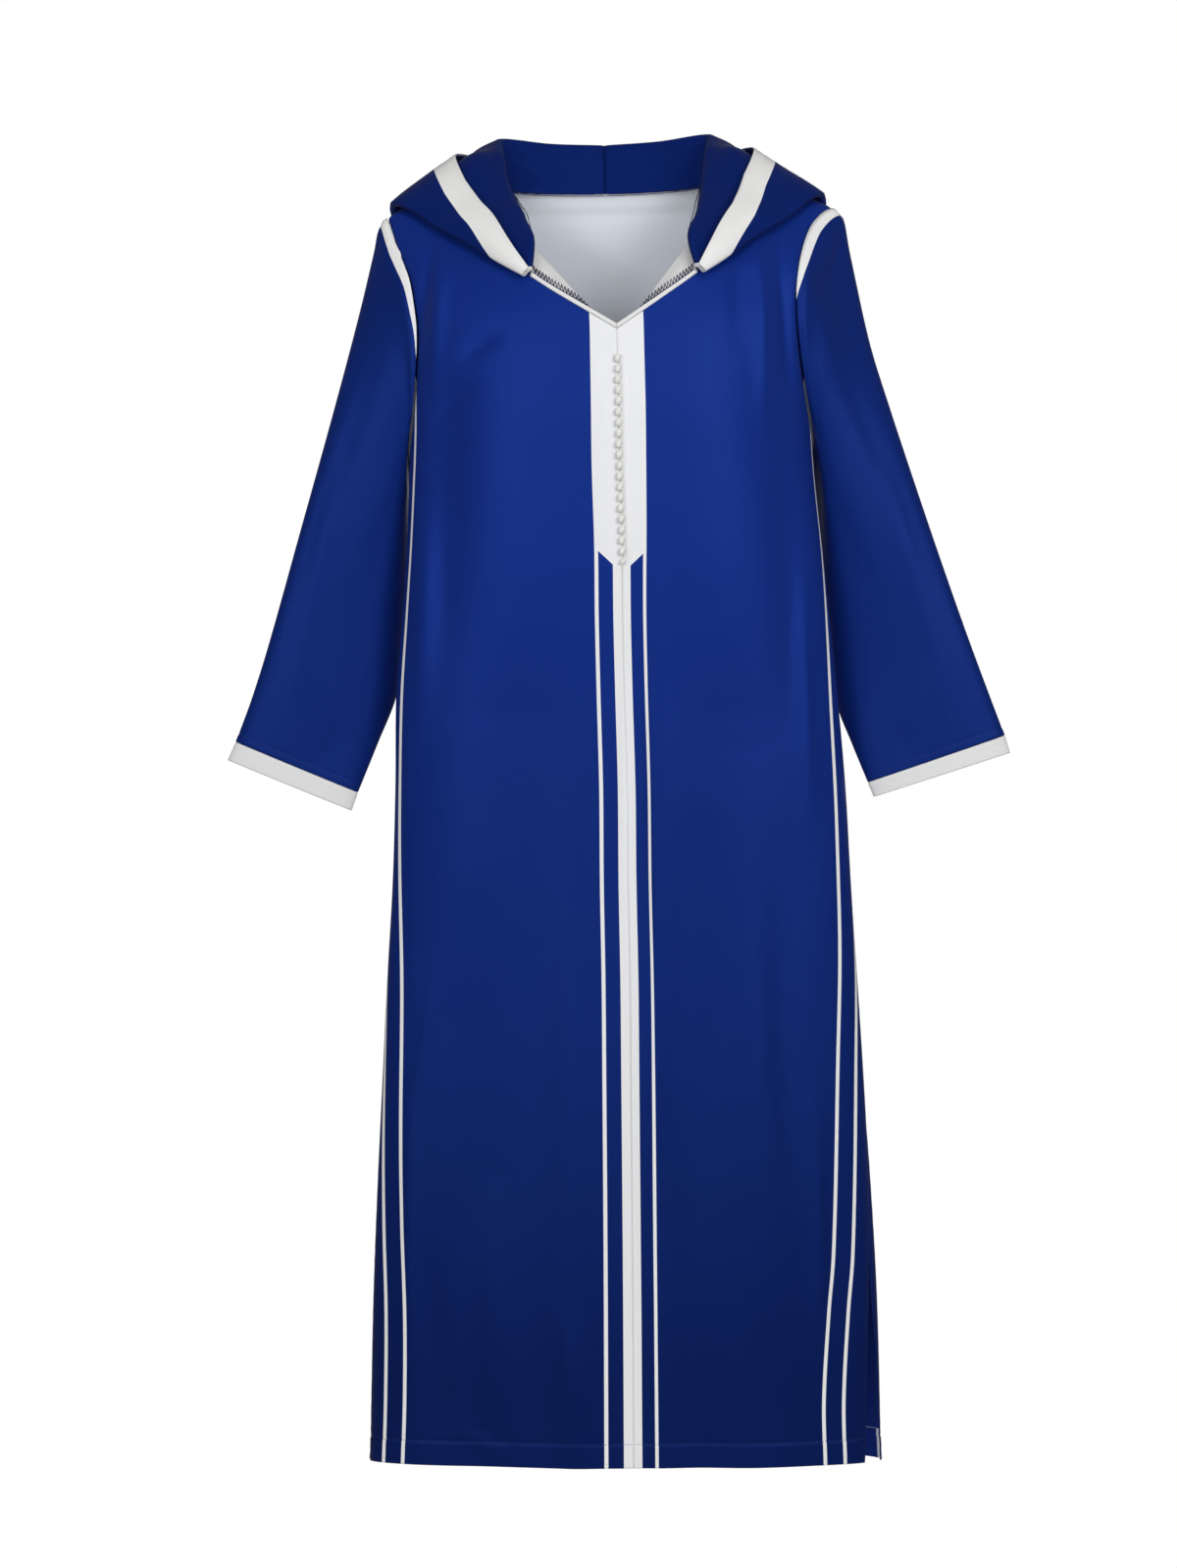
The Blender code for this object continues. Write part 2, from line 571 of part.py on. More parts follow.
def facing_grid(side, steps, columns):
    """The facing inside the slit: from behind the binding back to its free straight edge."""
    points, across, normal = slit_edge(side, np.linspace(*FACING_ENDS, steps + 1))
    start = points + across * FACING_IN - normal * (CLOTH + FACING_BEHIND)
    neck_angle, neck_z = front_inner_edge(side, np.array([FACING_TOP]))
    top = body(neck_angle, neck_z)[0] + FACING_TOP_MOVE
    bottom = start[-1] + FACING_BOTTOM_MOVE
    free = top + (bottom - top) * np.linspace(0, 1, steps + 1)[:, None]
    across_it = np.linspace(0, 1, columns + 1)[None, :, None]
    return start[:, None, :] * (1 - across_it) + free[:, None, :] * across_it


# ---------------------------------------------------------------- solids

def drawn_in(grid, edges="tblr", by=SEAM_INSET):
    """Draws the named edges of a grid towards its inside: t is the first row, b the last, l the
    first column and r the last."""
    grid = grid.copy()
    pairs = {"t": ((0, slice(None)), (1, slice(None))), "b": ((-1, slice(None)), (-2, slice(None))),
             "l": ((slice(None), 0), (slice(None), 1)), "r": ((slice(None), -1), (slice(None), -2))}
    for name in edges:
        edge, inner = pairs[name]
        grid[edge] = grid[edge] + unit(grid[inner] - grid[edge]) * by
    return grid


def mean_way(grid, axis):
    """At each point, the mean of the unit steps before and after it along one axis of a grid."""
    steps = unit(np.diff(grid, axis=axis))
    first, last = np.take(steps, [0], axis), np.take(steps, [-1], axis)
    return np.concatenate([first, steps], axis) + np.concatenate([steps, last], axis)


def offset_grid(grid, distance):
    """The grid moved along its own surface's normals."""
    return grid + unit(np.cross(mean_way(grid, 0), mean_way(grid, 1))) * distance


def new_material(name, colour, roughness):
    """A plain cloth material."""
    material = bpy.data.materials.new(name)
    material.use_nodes = True
    shader = material.node_tree.nodes["Principled BSDF"]
    shader.inputs["Base Color"].default_value = colour
    shader.inputs["Roughness"].default_value = roughness
    shader.inputs["Metallic"].default_value = 0.0
    return material


def cloth_piece(name, grid, material, collection, inside=None, closed=False,
                thickness=CLOTH, offset=1.0):
    """An open surface through a grid of points, given its wall by Solidify.

    inside is a point that the outer side faces away from; closed joins the last column
    to the first; offset 1 puts the wall outside the surface and -1 inside it."""
    rows, columns = grid.shape[:2]
    count = columns if closed else columns - 1
    faces = []
    for i in range(rows - 1):
        for j in range(count):
            k = (j + 1) % columns
            a, b = i * columns + j, i * columns + k
            c, d = (i + 1) * columns + k, (i + 1) * columns + j
            faces += [(a, b, c), (a, c, d)]
    points = lean(grid).reshape(-1, 3) * MM
    mesh = bpy.data.meshes.new(name)
    mesh.from_pydata(points.tolist(), [], faces)
    mesh.update()
    if inside is not None:
        centre = np.asarray(inside, float) * MM
        facing_away = sum((np.array(face.center) - centre) @ np.array(face.normal) * face.area
                          for face in mesh.polygons)
        if facing_away < 0:
            mesh.flip_normals()
    mesh.shade_smooth()
    mesh.materials.append(material)
    piece = bpy.data.objects.new(name, mesh)
    collection.objects.link(piece)
    wall = piece.modifiers.new("wall", "SOLIDIFY")
    wall.thickness = thickness * MM
    wall.offset = offset
    return piece


def add_buttons(material, collection, parent):
    """A row of small knotted buttons down the centre front, just clear of the cloth."""
    for i in range(BUTTON_COUNT):
        z = BUTTON_TOP_Z - BUTTON_PITCH * i
        seat = body(np.array([0.0]), np.array([z]))[0]
        out = body_normal(np.array([0.0]), np.array([z]))[0]
        centre = lean((seat + out * (CLOTH + BUTTON_RADII[1] + BUTTON_CLEARANCE))[None])[0]
        bpy.ops.mesh.primitive_ico_sphere_add(subdivisions=2, radius=1.0)
        button = bpy.context.object
        button.name = f"button_{i + 1:02d}"
        for vertex in button.data.vertices:
            vertex.co = [c * r * MM for c, r in zip(vertex.co, BUTTON_RADII)]
        button.data.shade_smooth()
        button.data.materials.append(material)
        button.location = centre * MM
        for other in list(button.users_collection):
            other.objects.unlink(button)
        collection.objects.link(button)
        button.parent = parent


def hood_layer(name, middle, side, outer, material, collection):
    """One of the two layers of half the hood, on its own side of the surface between them."""
    way = SIGN[side] if outer else -SIGN[side]
    grid = offset_grid(middle, way * HOOD_LAYER_GAP)
    piece = cloth_piece(name, grid, material, collection)
    corner = np.cross(grid[1, 0] - grid[0, 0], grid[0, 1] - grid[0, 0])
    if corner @ np.array(piece.data.polygons[0].normal) * way < 0:
        piece.data.flip_normals()
    return piece


def add_side(side, rows, blue, white, collection):
    """The pieces of one side: front, sleeve, cuff, hood half, slit binding and slit facing."""
    chest, neck = (0, 60, -600), (0, 60, -80)
    arm, wrist = (SIGN[side] * 300, 20, -330), (SIGN[side] * 345, 20, -585)
    front = drawn_in(front_grid(side, rows, PANEL_COLUMNS))
    sleeve = drawn_in(sleeve_grid(side, rows, SLEEVE_RINGS), "b")
    cuff = drawn_in(cuff_grid(side, rows), "t")
    hood = drawn_in(hood_grid(side, HOOD_STATIONS, HOOD_STEPS), "b", HOOD_SEAM_INSET)
    binding = drawn_in(binding_grid(side, SLIT_ROWS), "t")
    facing = facing_grid(side, SLIT_ROWS * 2, FACING_COLUMNS)
    return [
        cloth_piece(f"front_{side}", front, blue, collection, chest),
        cloth_piece(f"sleeve_{side}", sleeve, blue, collection, arm, closed=True, offset=-1.0),
        cloth_piece(f"cuff_{side}", cuff, white, collection, wrist, closed=True, offset=-1.0),
        hood_layer(f"hood_outer_{side}", hood, side, True, blue, collection),
        hood_layer(f"hood_lining_{side}", hood, side, False, blue, collection),
        cloth_piece(f"slit_binding_{side}", binding, white, collection, neck,
                    thickness=BINDING_THICK),
        cloth_piece(f"slit_facing_{side}", facing, white, collection, neck, offset=-1.0),
    ]


def clear_scene():
    """Removes the objects the file starts with."""
    for thing in list(bpy.data.objects):
        bpy.data.objects.remove(thing)


def main():
    """Builds the robe's pieces, all parented to one empty."""
    clear_scene()
    collection = bpy.data.collections.new("djellaba")
    bpy.context.scene.collection.children.link(collection)
    blue = new_material("printed_cloth", BLUE, 0.55)
    white = new_material("white_cloth", WHITE, 0.6)
    robe = bpy.data.objects.new("robe", None)
    collection.objects.link(robe)

    rows = panel_rows(NECK_ROWS, SLIT_ROWS, CHEST_ROWS, SKIRT_ROWS)
    back = drawn_in(back_grid(rows, PANEL_COLUMNS, BACK_NECK_COLUMNS))
    pieces = [cloth_piece("back", back, blue, collection, (0, 0, -600))]
    for side in SIGN:
        pieces += add_side(side, rows, blue, white, collection)
    for piece in pieces:
        piece.parent = robe
    add_buttons(white, collection, robe)


main()
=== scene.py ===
"""Looks of a hooded djellaba robe: cloth, prints, seams, stitches and buttons on its CAD form.

Metres, +Z up, the front facing -Y and left at -X, as in the CAD. The tables are in
millimetres: h is a distance out from the centre line, y runs front to back, z up.
Every cloth piece is a smooth surface of two parameters, laid out as a grid of points. Its
outer face lies on the CAD solid's outer face, with seams and creases worked into it.
"""

import logging
import math
from collections.abc import Sequence
from dataclasses import dataclass, field
from enum import Enum
from typing import NamedTuple

import bpy
import numpy as np
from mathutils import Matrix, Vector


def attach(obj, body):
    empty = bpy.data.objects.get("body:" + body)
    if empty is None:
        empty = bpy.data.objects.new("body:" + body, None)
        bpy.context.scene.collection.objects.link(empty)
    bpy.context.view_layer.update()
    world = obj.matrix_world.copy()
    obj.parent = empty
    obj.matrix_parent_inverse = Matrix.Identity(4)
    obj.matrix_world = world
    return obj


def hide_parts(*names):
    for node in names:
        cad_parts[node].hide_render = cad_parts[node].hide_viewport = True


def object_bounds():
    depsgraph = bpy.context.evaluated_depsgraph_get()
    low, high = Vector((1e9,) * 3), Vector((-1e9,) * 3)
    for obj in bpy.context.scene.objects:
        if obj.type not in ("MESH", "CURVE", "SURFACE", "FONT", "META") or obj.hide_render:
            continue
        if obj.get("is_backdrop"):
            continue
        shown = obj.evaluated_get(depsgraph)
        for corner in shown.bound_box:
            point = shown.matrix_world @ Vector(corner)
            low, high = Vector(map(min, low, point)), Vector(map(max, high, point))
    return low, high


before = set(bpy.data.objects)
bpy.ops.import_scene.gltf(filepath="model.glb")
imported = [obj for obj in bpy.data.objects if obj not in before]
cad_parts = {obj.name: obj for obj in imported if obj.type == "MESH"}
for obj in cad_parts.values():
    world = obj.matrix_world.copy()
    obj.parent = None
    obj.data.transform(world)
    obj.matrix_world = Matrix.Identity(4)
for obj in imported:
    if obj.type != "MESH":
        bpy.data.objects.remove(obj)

Array = np.ndarray
Shape = tuple[np.ndarray, np.ndarray]
Materials = Sequence[bpy.types.Material]
Groups = dict[str, bpy.types.NodeTree]
Pieces = dict[str, bpy.types.Object]
MM = 0.001
log = logging.getLogger("djellaba")


class Side(Enum):
    """A side of the robe, as seen from the front."""

    LEFT = "left"
    RIGHT = "right"

    @property
    def sign(self) -> float:
        """-1 on the left and 1 on the right."""
        return -1.0 if self is Side.LEFT else 1.0


class Half(Enum):
    """The front or the back of the robe."""

    FRONT = "front"
    BACK = "back"


# ---------------------------------------------------------------- curves and surfaces


def unit(vectors: Array) -> Array:
    """The vectors made one long."""
    return vectors / np.maximum(np.linalg.norm(vectors, axis=-1, keepdims=True), 1e-9)


def hermite(xs: Sequence[float] | Array, ys: Sequence | Array, x: Array) -> Array:
    """A smooth curve through points: cubic Hermite, with slopes from each point's neighbours.

    Args:
        xs: Where the points stand, in rising or falling order.
        ys: The value at each point, a number or a vector.
        x: Where the curve is wanted.

    Returns:
        The curve's value at each x.
    """
    xs, ys = np.asarray(xs, float), np.asarray(ys, float)
    if xs[0] > xs[-1]:
        xs, ys = xs[::-1], ys[::-1]
    steps, spans = np.diff(xs), xs[2:] - xs[:-2]
    if ys.ndim == 2:
        steps, spans = steps[:, None], spans[:, None]
    slopes = np.diff(ys, axis=0) / steps
    tangents = np.concatenate([slopes[:1], (ys[2:] - ys[:-2]) / spans, slopes[-1:]])
    x = np.clip(np.asarray(x, float), xs[0], xs[-1])
    i = np.clip(np.searchsorted(xs, x) - 1, 0, len(xs) - 2)
    width = xs[i + 1] - xs[i]
    t = (x - xs[i]) / width
    if ys.ndim == 2:
        t, width = t[..., None], width[..., None]
    return (
        (2 * t**3 - 3 * t**2 + 1) * ys[i]
        + (t**3 - 2 * t**2 + t) * width * tangents[i]
        + (3 * t**2 - 2 * t**3) * ys[i + 1]
        + (t**3 - t**2) * width * tangents[i + 1]
    )


def travelled(points: Array, axis: int = 0) -> Array:
    """Length along chains of points up to each of them.

    Args:
        points: The points, with x, y and z on the last axis.
        axis: The axis that the chains run along.

    Returns:
        The length so far at each point, 0 at a chain's start.
    """
    steps = np.linalg.norm(np.diff(points, axis=axis), axis=-1)
    return np.concatenate([np.zeros_like(np.take(steps, [0], axis)), np.cumsum(steps, axis)], axis)


def along(points: Sequence | Array, share: Array) -> Array:
    """Points at these shares of the length of a smooth curve through the given points."""
    points = np.asarray(points, float)
    at = travelled(points)
    return hermite(at, points, np.asarray(share) * at[-1])


def through(points: Array, steps: Sequence[int]) -> Array:
    """A smooth curve through points, with its own number of steps between each two."""
    at = travelled(points)
    stops = [np.linspace(at[i], at[i + 1], n, endpoint=False) for i, n in enumerate(steps)]
    return hermite(at, points, np.concatenate([*stops, at[-1:]]))


def smoothstep(low: float, high: float, x: Array) -> Array:
    """0 below low, 1 above high, and a smooth rise between."""
    t = np.clip((x - low) / (high - low), 0, 1)
    return t * t * (3 - 2 * t)


def bell(x: Array, width: float | Array) -> Array:
    """1 at 0, falling smoothly to both sides over about the width."""
    return np.exp(-((x / width) ** 2))


def towards_ends(count: int, pull: float) -> Array:
    """Shares from 0 to 1 that lie closer together near both ends, by a sine of their place."""
    share = np.linspace(0, 1, count + 1)
    return share - pull * np.sin(2 * math.pi * share) / (2 * math.pi)


def mean_way(grid: Array, axis: int) -> Array:
    """The mean of the unit steps before and after each point along one axis of a grid."""
    steps = unit(np.diff(grid, axis=axis))
    first, last = np.take(steps, [0], axis), np.take(steps, [-1], axis)
    return np.concatenate([first, steps], axis) + np.concatenate([steps, last], axis)


def grid_normals(grid: Array) -> Array:
    """Unit normals of a grid, square to both ways across it."""
    return unit(np.cross(mean_way(grid, 0), mean_way(grid, 1)))


# ---------------------------------------------------------------- the form under the cloth


class Section(NamedTuple):
    """A level section of the body: centre line, half-widths and depths about y = side."""

    z: float
    middle: float
    left: float
    right: float
    front: float
    back: float
    side: float


class Reach(NamedTuple):
    """How far the front panel reaches round each side, as a share of its flat width."""

    z: float
    left: float
    right: float


class Armhole(NamedTuple):
    """How far an armhole bites into the front and the back, in degrees round the body."""

    front_bite: float
    front_skew: float
    back_bite: float


class Fold(NamedTuple):
    """A broad hanging fold: where it runs, its half-width and its height."""

    x_top: float
    x_bottom: float
    z_top: float
    z_bottom: float
    width: float
    height: float


class NeckPoint(NamedTuple):
    """A point of the front neck seam."""

    h: float
    z: float


@dataclass(frozen=True)
class RobeSizes:
    """The robe's driving sizes, in millimetres."""

    cloth: float = 1.2
    hem_z: float = -1328.0
    vent_top_z: float = -1086.0
    underarm_z: float = -250.0
    shoulder_tip_z: float = 19.0
    neck_point_z: float = 55.0
    slit_bottom_z: float = -117.0
    back_neck_z: float = 51.0
    panel_half: float = 289.0
    lean: float = 0.022
    lean_low_z: float = -450.0
    lean_high_z: float = -100.0
    armhole_lift: float = 3.0
    sleeve_clearance: float = 4.2
    hood_clearance: float = 5.0


@dataclass(frozen=True)
class BodyForm:
    """The filled-out body: level sections of four quarter ellipses, with broad folds."""

    sizes: RobeSizes = RobeSizes()
    sections: tuple[Section, ...] = (
        Section(55, -9, 108, 108, 3, 46, 24),
        Section(50, -8, 145, 145, 4, 49, 22),
        Section(44, -7, 180, 180, 6, 53, 20),
        Section(37, -6, 207, 207, 8, 57, 18),
        Section(29, -5, 225, 225, 13, 64, 15),
        Section(19, -3, 240, 240, 22, 70, 11),
        Section(-5, -3, 245, 245, 43, 79, 8),
        Section(-26, -2, 243, 243, 63, 86, 7),
        Section(-50, 0, 238, 236, 82, 92, 6),
        Section(-75, 1, 234, 229, 91, 95, 5),
        Section(-106, 3, 230, 221, 96, 98, 4),
        Section(-150, 4, 226, 213, 97, 99, 3),
        Section(-200, 5, 223, 208, 95, 96, 2),
        Section(-260, 6, 225, 210, 88, 90, 1),
        Section(-344, 9, 231, 216, 78, 82, 0),
        Section(-420, 10, 237, 223, 69, 77, 0),
        Section(-498, 12, 245, 229, 60, 72, 0),
        Section(-600, 15, 249, 235, 53, 69, 0),
        Section(-705, 16, 253, 240, 49, 66, 0),
        Section(-811, 18, 261, 245, 48, 64, 0),
        Section(-917, 19, 267, 251, 50, 64, 0),
        Section(-1023, 20, 273, 257, 52, 64, 0),
        Section(-1150, 21, 279, 263, 54, 65, 0),
        Section(-1328, 22, 285, 267, 56, 66, 0),
    )
    front_folds: tuple[Fold, ...] = (
        Fold(-118, -128, -60, -520, 52, 6),
        Fold(98, 112, -60, -520, 50, 5),
        Fold(-178, -196, -140, -470, 20, -5),
        Fold(176, 188, -170, -560, 22, -5),
        Fold(16, 26, -350, -1150, 15, -4),
        Fold(-70, -58, -560, -1500, 34, 6),
        Fold(-150, -160, -700, -1500, 44, -6),
        Fold(78, 70, -620, -1500, 30, -6),
        Fold(130, 138, -560, -1500, 40, 7),
    )
    back_folds: tuple[Fold, ...] = (
        Fold(-96, -120, -330, -1500, 38, 9),
        Fold(-20, -34, -380, -1500, 34, -8),
        Fold(52, 64, -300, -1500, 36, 9),
        Fold(128, 150, -420, -1500, 34, -7),
    )
    fold_fade_power: float = 0.8
    side_fade: float = 1.6

    def column(self, name: str, z: Array) -> Array:
        """One column of the sections' table as a smooth function of z."""
        return hermite([s.z for s in self.sections], [getattr(s, name) for s in self.sections], z)

    def fold_height(self, folds: Sequence[Fold], x: Array, z: Array) -> Array:
        """Sum of the folds' heights: each is a bell across and fades at its ends.

        Args:
            folds: The folds.
            x: Distance from the centre line.
            z: Height.

        Returns:
            How far the folds lift the surface, out from the body.
        """
        total = np.zeros(np.broadcast(x, z).shape)
        for fold in folds:
            share = np.clip((fold.z_top - z) / (fold.z_top - fold.z_bottom), 0, 1)
            centre = fold.x_top + (fold.x_bottom - fold.x_top) * share
            fade = np.sin(math.pi * share) ** self.fold_fade_power
            total = total + fold.height * fade * bell(x - centre, fold.width)
        return total

    def point(self, angle: Array, z: Array) -> Array:
        """The body's surface: x = middle + half sin(a) and y = side - depth cos(a), plus folds.

        Args:
            angle: Radians round the body, 0 at the centre front and negative to the left.
            z: Height.

        Returns:
            Points, with x, y and z on the last axis.
        """
        angle, z = np.broadcast_arrays(np.asarray(angle, float), np.asarray(z, float))
        across, ahead = np.sin(angle), np.cos(angle)
        half = np.where(across < 0, self.column("left", z), self.column("right", z))
        depth = np.where(ahead > 0, self.column("front", z), self.column("back", z))
        x = half * across
        y = self.column("side", z) - depth * ahead
        fade = np.clip(np.abs(ahead) * self.side_fade, 0, 1)
        front = -self.fold_height(self.front_folds, x, z)
        folds = np.where(ahead > 0, front, self.fold_height(self.back_folds, x, z))
        return np.stack([self.column("middle", z) + x, y + folds * fade, z], axis=-1)

    def normal(self, angle: Array, z: Array) -> Array:
        """Unit outward direction of the surface, from its slopes round and up it."""
        step, rise = 1e-3, 1.0
        z = np.asarray(z, float)
        round_it = self.point(angle + step, z) - self.point(angle - step, z)
        return unit(np.cross(round_it, self.point(angle, z + rise) - self.point(angle, z - rise)))

    def outline(self, z: Array, side: Side, fan: Array) -> Array:
        """Length round each level section from the centre front up to each angle of a fan."""
        half = self.column(side.value, z)[:, None]
        front, back = self.column("front", z)[:, None], self.column("back", z)[:, None]
        depth = np.where(fan < math.pi / 2, front, back)
        rims = np.stack([half * np.sin(fan), depth * np.cos(fan)], axis=-1)
        return travelled(rims, axis=1)

    def angle_at(self, distance: Array, z: Array, side: Side) -> Array:
        """The angle that lies this far along the cloth from the centre front, at each height."""
        fan = np.linspace(0, math.pi * 0.9, 200)
        lengths = self.outline(z, side, fan)
        found = [np.interp(d, row, fan) for d, row in zip(distance, lengths, strict=True)]
        return side.sign * np.array(found)

    def flat_distance(self, angle: Array, z: Array, side: Side) -> Array:
        """Length along the cloth from the centre front, at a level, for a grid of places.

        Args:
            angle: Radians round the body.
            z: Height.
            side: The side of the body that they lie on.

        Returns:
            The lengths, in millimetres.
        """
        levels = np.linspace(self.sizes.hem_z, self.sizes.neck_point_z, 160)
        fan = np.linspace(0, math.pi, 240)
        table = self.outline(levels, side, fan)
        row = np.clip((z - levels[0]) / (levels[1] - levels[0]), 0, len(levels) - 1.001)
        turn = np.clip(np.abs(angle) / (fan[1] - fan[0]), 0, len(fan) - 1.001)
        i, j = row.astype(int), turn.astype(int)
        p, q = row - i, turn - j
        low = table[i, j] * (1 - q) + table[i, j + 1] * q
        high = table[i + 1, j] * (1 - q) + table[i + 1, j + 1] * q
        return low * (1 - p) + high * p

    def cleared(self, points: Array, gap: float | Array) -> Array:
        """Moves points closer to the body than the gap out along its normal."""
        points = points.copy()
        for _ in range(3):
            z = points[..., 2]
            x = points[..., 0] - self.column("middle", z)
            y = points[..., 1] - self.column("side", z)
            half = np.where(x < 0, self.column("left", z), self.column("right", z))
            depth = np.where(y < 0, self.column("front", z), self.column("back", z))
            angle = np.arctan2(x / half, -y / depth)
            normal = self.normal(angle, z)
            distance = np.sum((points - self.point(angle, z)) * normal, axis=-1)
            push = np.where(z < self.sizes.shoulder_tip_z, np.maximum(gap - distance, 0), 0)
            points += normal * push[..., None]
        return points

    def leant(self, points: Array) -> Array:
        """Lifts the right shoulder a little and lowers the left; the hem stays level."""
        moved = points.copy()
        fade = smoothstep(self.sizes.lean_low_z, self.sizes.lean_high_z, points[..., 2])
        moved[..., 2] += self.sizes.lean * points[..., 0] * fade
        return moved


@dataclass(frozen=True)
class Seams:
    """Where the robe's pieces are sewn together, as angles and heights on the body."""

    form: BodyForm
    reaches: tuple[Reach, ...] = (
        Reach(-250, 0.975, 0.955),
        Reach(-420, 1.00, 0.955),
        Reach(-600, 1.03, 0.945),
        Reach(-811, 1.02, 0.935),
        Reach(-1023, 1.03, 0.915),
        Reach(-1328, 1.015, 0.875),
    )
    left_vent: float = 9.0
    right_vent: float = 24.0
    left_armhole: Armhole = Armhole(30, 0.83, 27)
    right_armhole: Armhole = Armhole(40, 0.72, 27)
    neck: tuple[NeckPoint, ...] = (
        NeckPoint(108, 55),
        NeckPoint(101, 37),
        NeckPoint(93, 14),
        NeckPoint(88, -9),
        NeckPoint(88, -32),
        NeckPoint(89.3, -56.5),
    )
    neck_split: float = 5 / 9
    slit_power: float = 0.92

    @property
    def sizes(self) -> RobeSizes:
        """The robe's driving sizes."""
        return self.form.sizes

    def reach(self, side: Side, z: Array) -> Array:
        """Length along the cloth from the centre front to the side seam."""
        shares = [getattr(r, side.value) for r in self.reaches]
        return self.sizes.panel_half * hermite([r.z for r in self.reaches], shares, z)

    def side_seam(self, side: Side, z: Array) -> Array:
        """Angle of the side seam and of the front panel's edge along the slit."""
        return self.form.angle_at(self.reach(side, z), z, side)

    def back_edge(self, side: Side, z: Array) -> Array:
        """Angle of the back panel's edge: on the seam, and standing off it down the slit."""
        opening = self.left_vent if side is Side.LEFT else self.right_vent
        opening = opening * smoothstep(-self.sizes.vent_top_z, -self.sizes.hem_z, -z)
        return self.form.angle_at(self.reach(side, z) + opening, z, side)

    def armhole(self, side: Side, half: Half, share: Array) -> tuple[Array, Array]:
        """Angle and z down one half of an armhole, from the shoulder tip to the underarm.

        Args:
            side: The side of the robe.
            half: The front or the back.
            share: Share of the way down.

        Returns:
            The angles and the heights.
        """
        cut = self.left_armhole if side is Side.LEFT else self.right_armhole
        share = np.asarray(share, float)
        top, low = self.sizes.shoulder_tip_z, self.sizes.underarm_z
        underarm = abs(self.side_seam(side, np.array([low]))[0])
        if half is Half.FRONT:
            bite = cut.front_bite * np.sin(math.pi * share**cut.front_skew)
        else:
            bite = -cut.back_bite * np.sin(math.pi * share)
        angle = (math.pi / 2) * (1 - share) + underarm * share - np.radians(bite)
        return side.sign * angle, top + (low - top) * (0.5 - 0.5 * np.cos(math.pi * share))

    def skirt_z(self, at: Array) -> Array:
        """Height of a row below the underarm, where at is 3 there and 4 at the hem."""
        return self.sizes.underarm_z + (self.sizes.hem_z - self.sizes.underarm_z) * (at - 3)

    def armhole_share(self, at: Array) -> Array:
        """Share of the way down the armhole where a panel's row meets it."""
        return np.clip(np.interp(at, [0, 1, 2, 3], [0, 0.42, 0.66, 1.0]), 0, 1)

    def inner_edge(self, side: Side, at: Array) -> tuple[Array, Array]:
        """Angle and z of a front panel's inner edge: neck seam, slit, then the centre front.

        Args:
            side: The side of the robe.
            at: 0 at the shoulder, 1 at the hood's corner, 2 at the slit's bottom, 3 at the
                underarm and 4 at the hem.

        Returns:
            The angles and the heights.
        """
        corner, bottom = self.neck[-1], self.sizes.slit_bottom_z
        h, neck_z = hermite(np.linspace(0, 1, len(self.neck)), self.neck, np.clip(at, 0, 1)).T
        neck_angle = np.arcsin(np.clip(h / self.form.column(side.value, neck_z), 0, 1))
        down_slit = np.clip(at - 1, 0, 1)
        corner_half = self.form.column(side.value, np.array(corner.z))
        slit_angle = np.arcsin(corner.h / corner_half) * (1 - down_slit)
        slit_z = corner.z + (bottom - corner.z) * down_slit**self.slit_power
        chest_z = bottom + (self.sizes.underarm_z - bottom) * np.clip(at - 2, 0, 1)
        angle = np.where(at < 1, neck_angle, slit_angle)
        z = np.select([at < 1, at < 2, at < 3], [neck_z, slit_z, chest_z], self.skirt_z(at))
        return side.sign * angle, z

    def outer_edge(self, side: Side, half: Half, at: Array) -> tuple[Array, Array]:
        """Angle and z of a panel's outer edge: armhole, then side seam and slit."""
        hole_angle, hole_z = self.armhole(side, half, self.armhole_share(at))
        z = np.where(at < 3, hole_z, self.skirt_z(at))
        low = np.minimum(z, self.sizes.underarm_z)
        seam = self.side_seam(side, low) if half is Half.FRONT else self.back_edge(side, low)
        return np.where(at < 3, hole_angle, seam), z

    def neck_seam(self, side: Side, share: Array) -> tuple[Array, Array]:
        """Angle and z round half the neck seam: 0 at the front corner, 1 at the centre back."""
        share, split = np.asarray(share, float), self.neck_split
        front_angle, front_z = self.inner_edge(side, np.clip(1 - share / split, 0, 1))
        round_back = np.clip((share - split) / (1 - split), 0, 1)
        back_angle = side.sign * (math.pi / 2) * (1 + round_back)
        drop = self.sizes.back_neck_z - self.sizes.neck_point_z
        back_z = self.sizes.neck_point_z + drop * np.sin(math.pi / 2 * round_back)
        before = share < split
        return np.where(before, front_angle, back_angle), np.where(before, front_z, back_z)

    def slit_edge(self, side: Side, share: Array) -> tuple[Array, Array, Array]:
        """Points down one edge of the neck slit, the way into the opening, and the normals."""
        angle, z = self.inner_edge(side, 1 + np.asarray(share))
        points, normal = self.form.point(angle, z), self.form.normal(angle, z)
        down = unit(np.gradient(points, axis=0))
        return points, np.cross(normal, down) * -side.sign, normal


# ---------------------------------------------------------------- rings and creases


def read_off(table: Sequence[tuple[float, float]], x: Array) -> Array:
    """A smooth curve through a table's rows, each a place and a value."""
    return hermite([row[0] for row in table], [row[1] for row in table], x)


def ringed(values: Array) -> Array:
    """A closed grid with its first column given again at the end."""
    return np.concatenate([values, values[:, :1]], axis=1)


def ring_normals(grid: Array) -> Array:
    """Normals of a grid of closed rings, turned away from each ring's middle."""
    normal = grid_normals(ringed(grid))[:, :-1]
    outward = grid - grid.mean(axis=1, keepdims=True)
    return normal * np.sign(np.sum(normal * outward, axis=-1, keepdims=True))


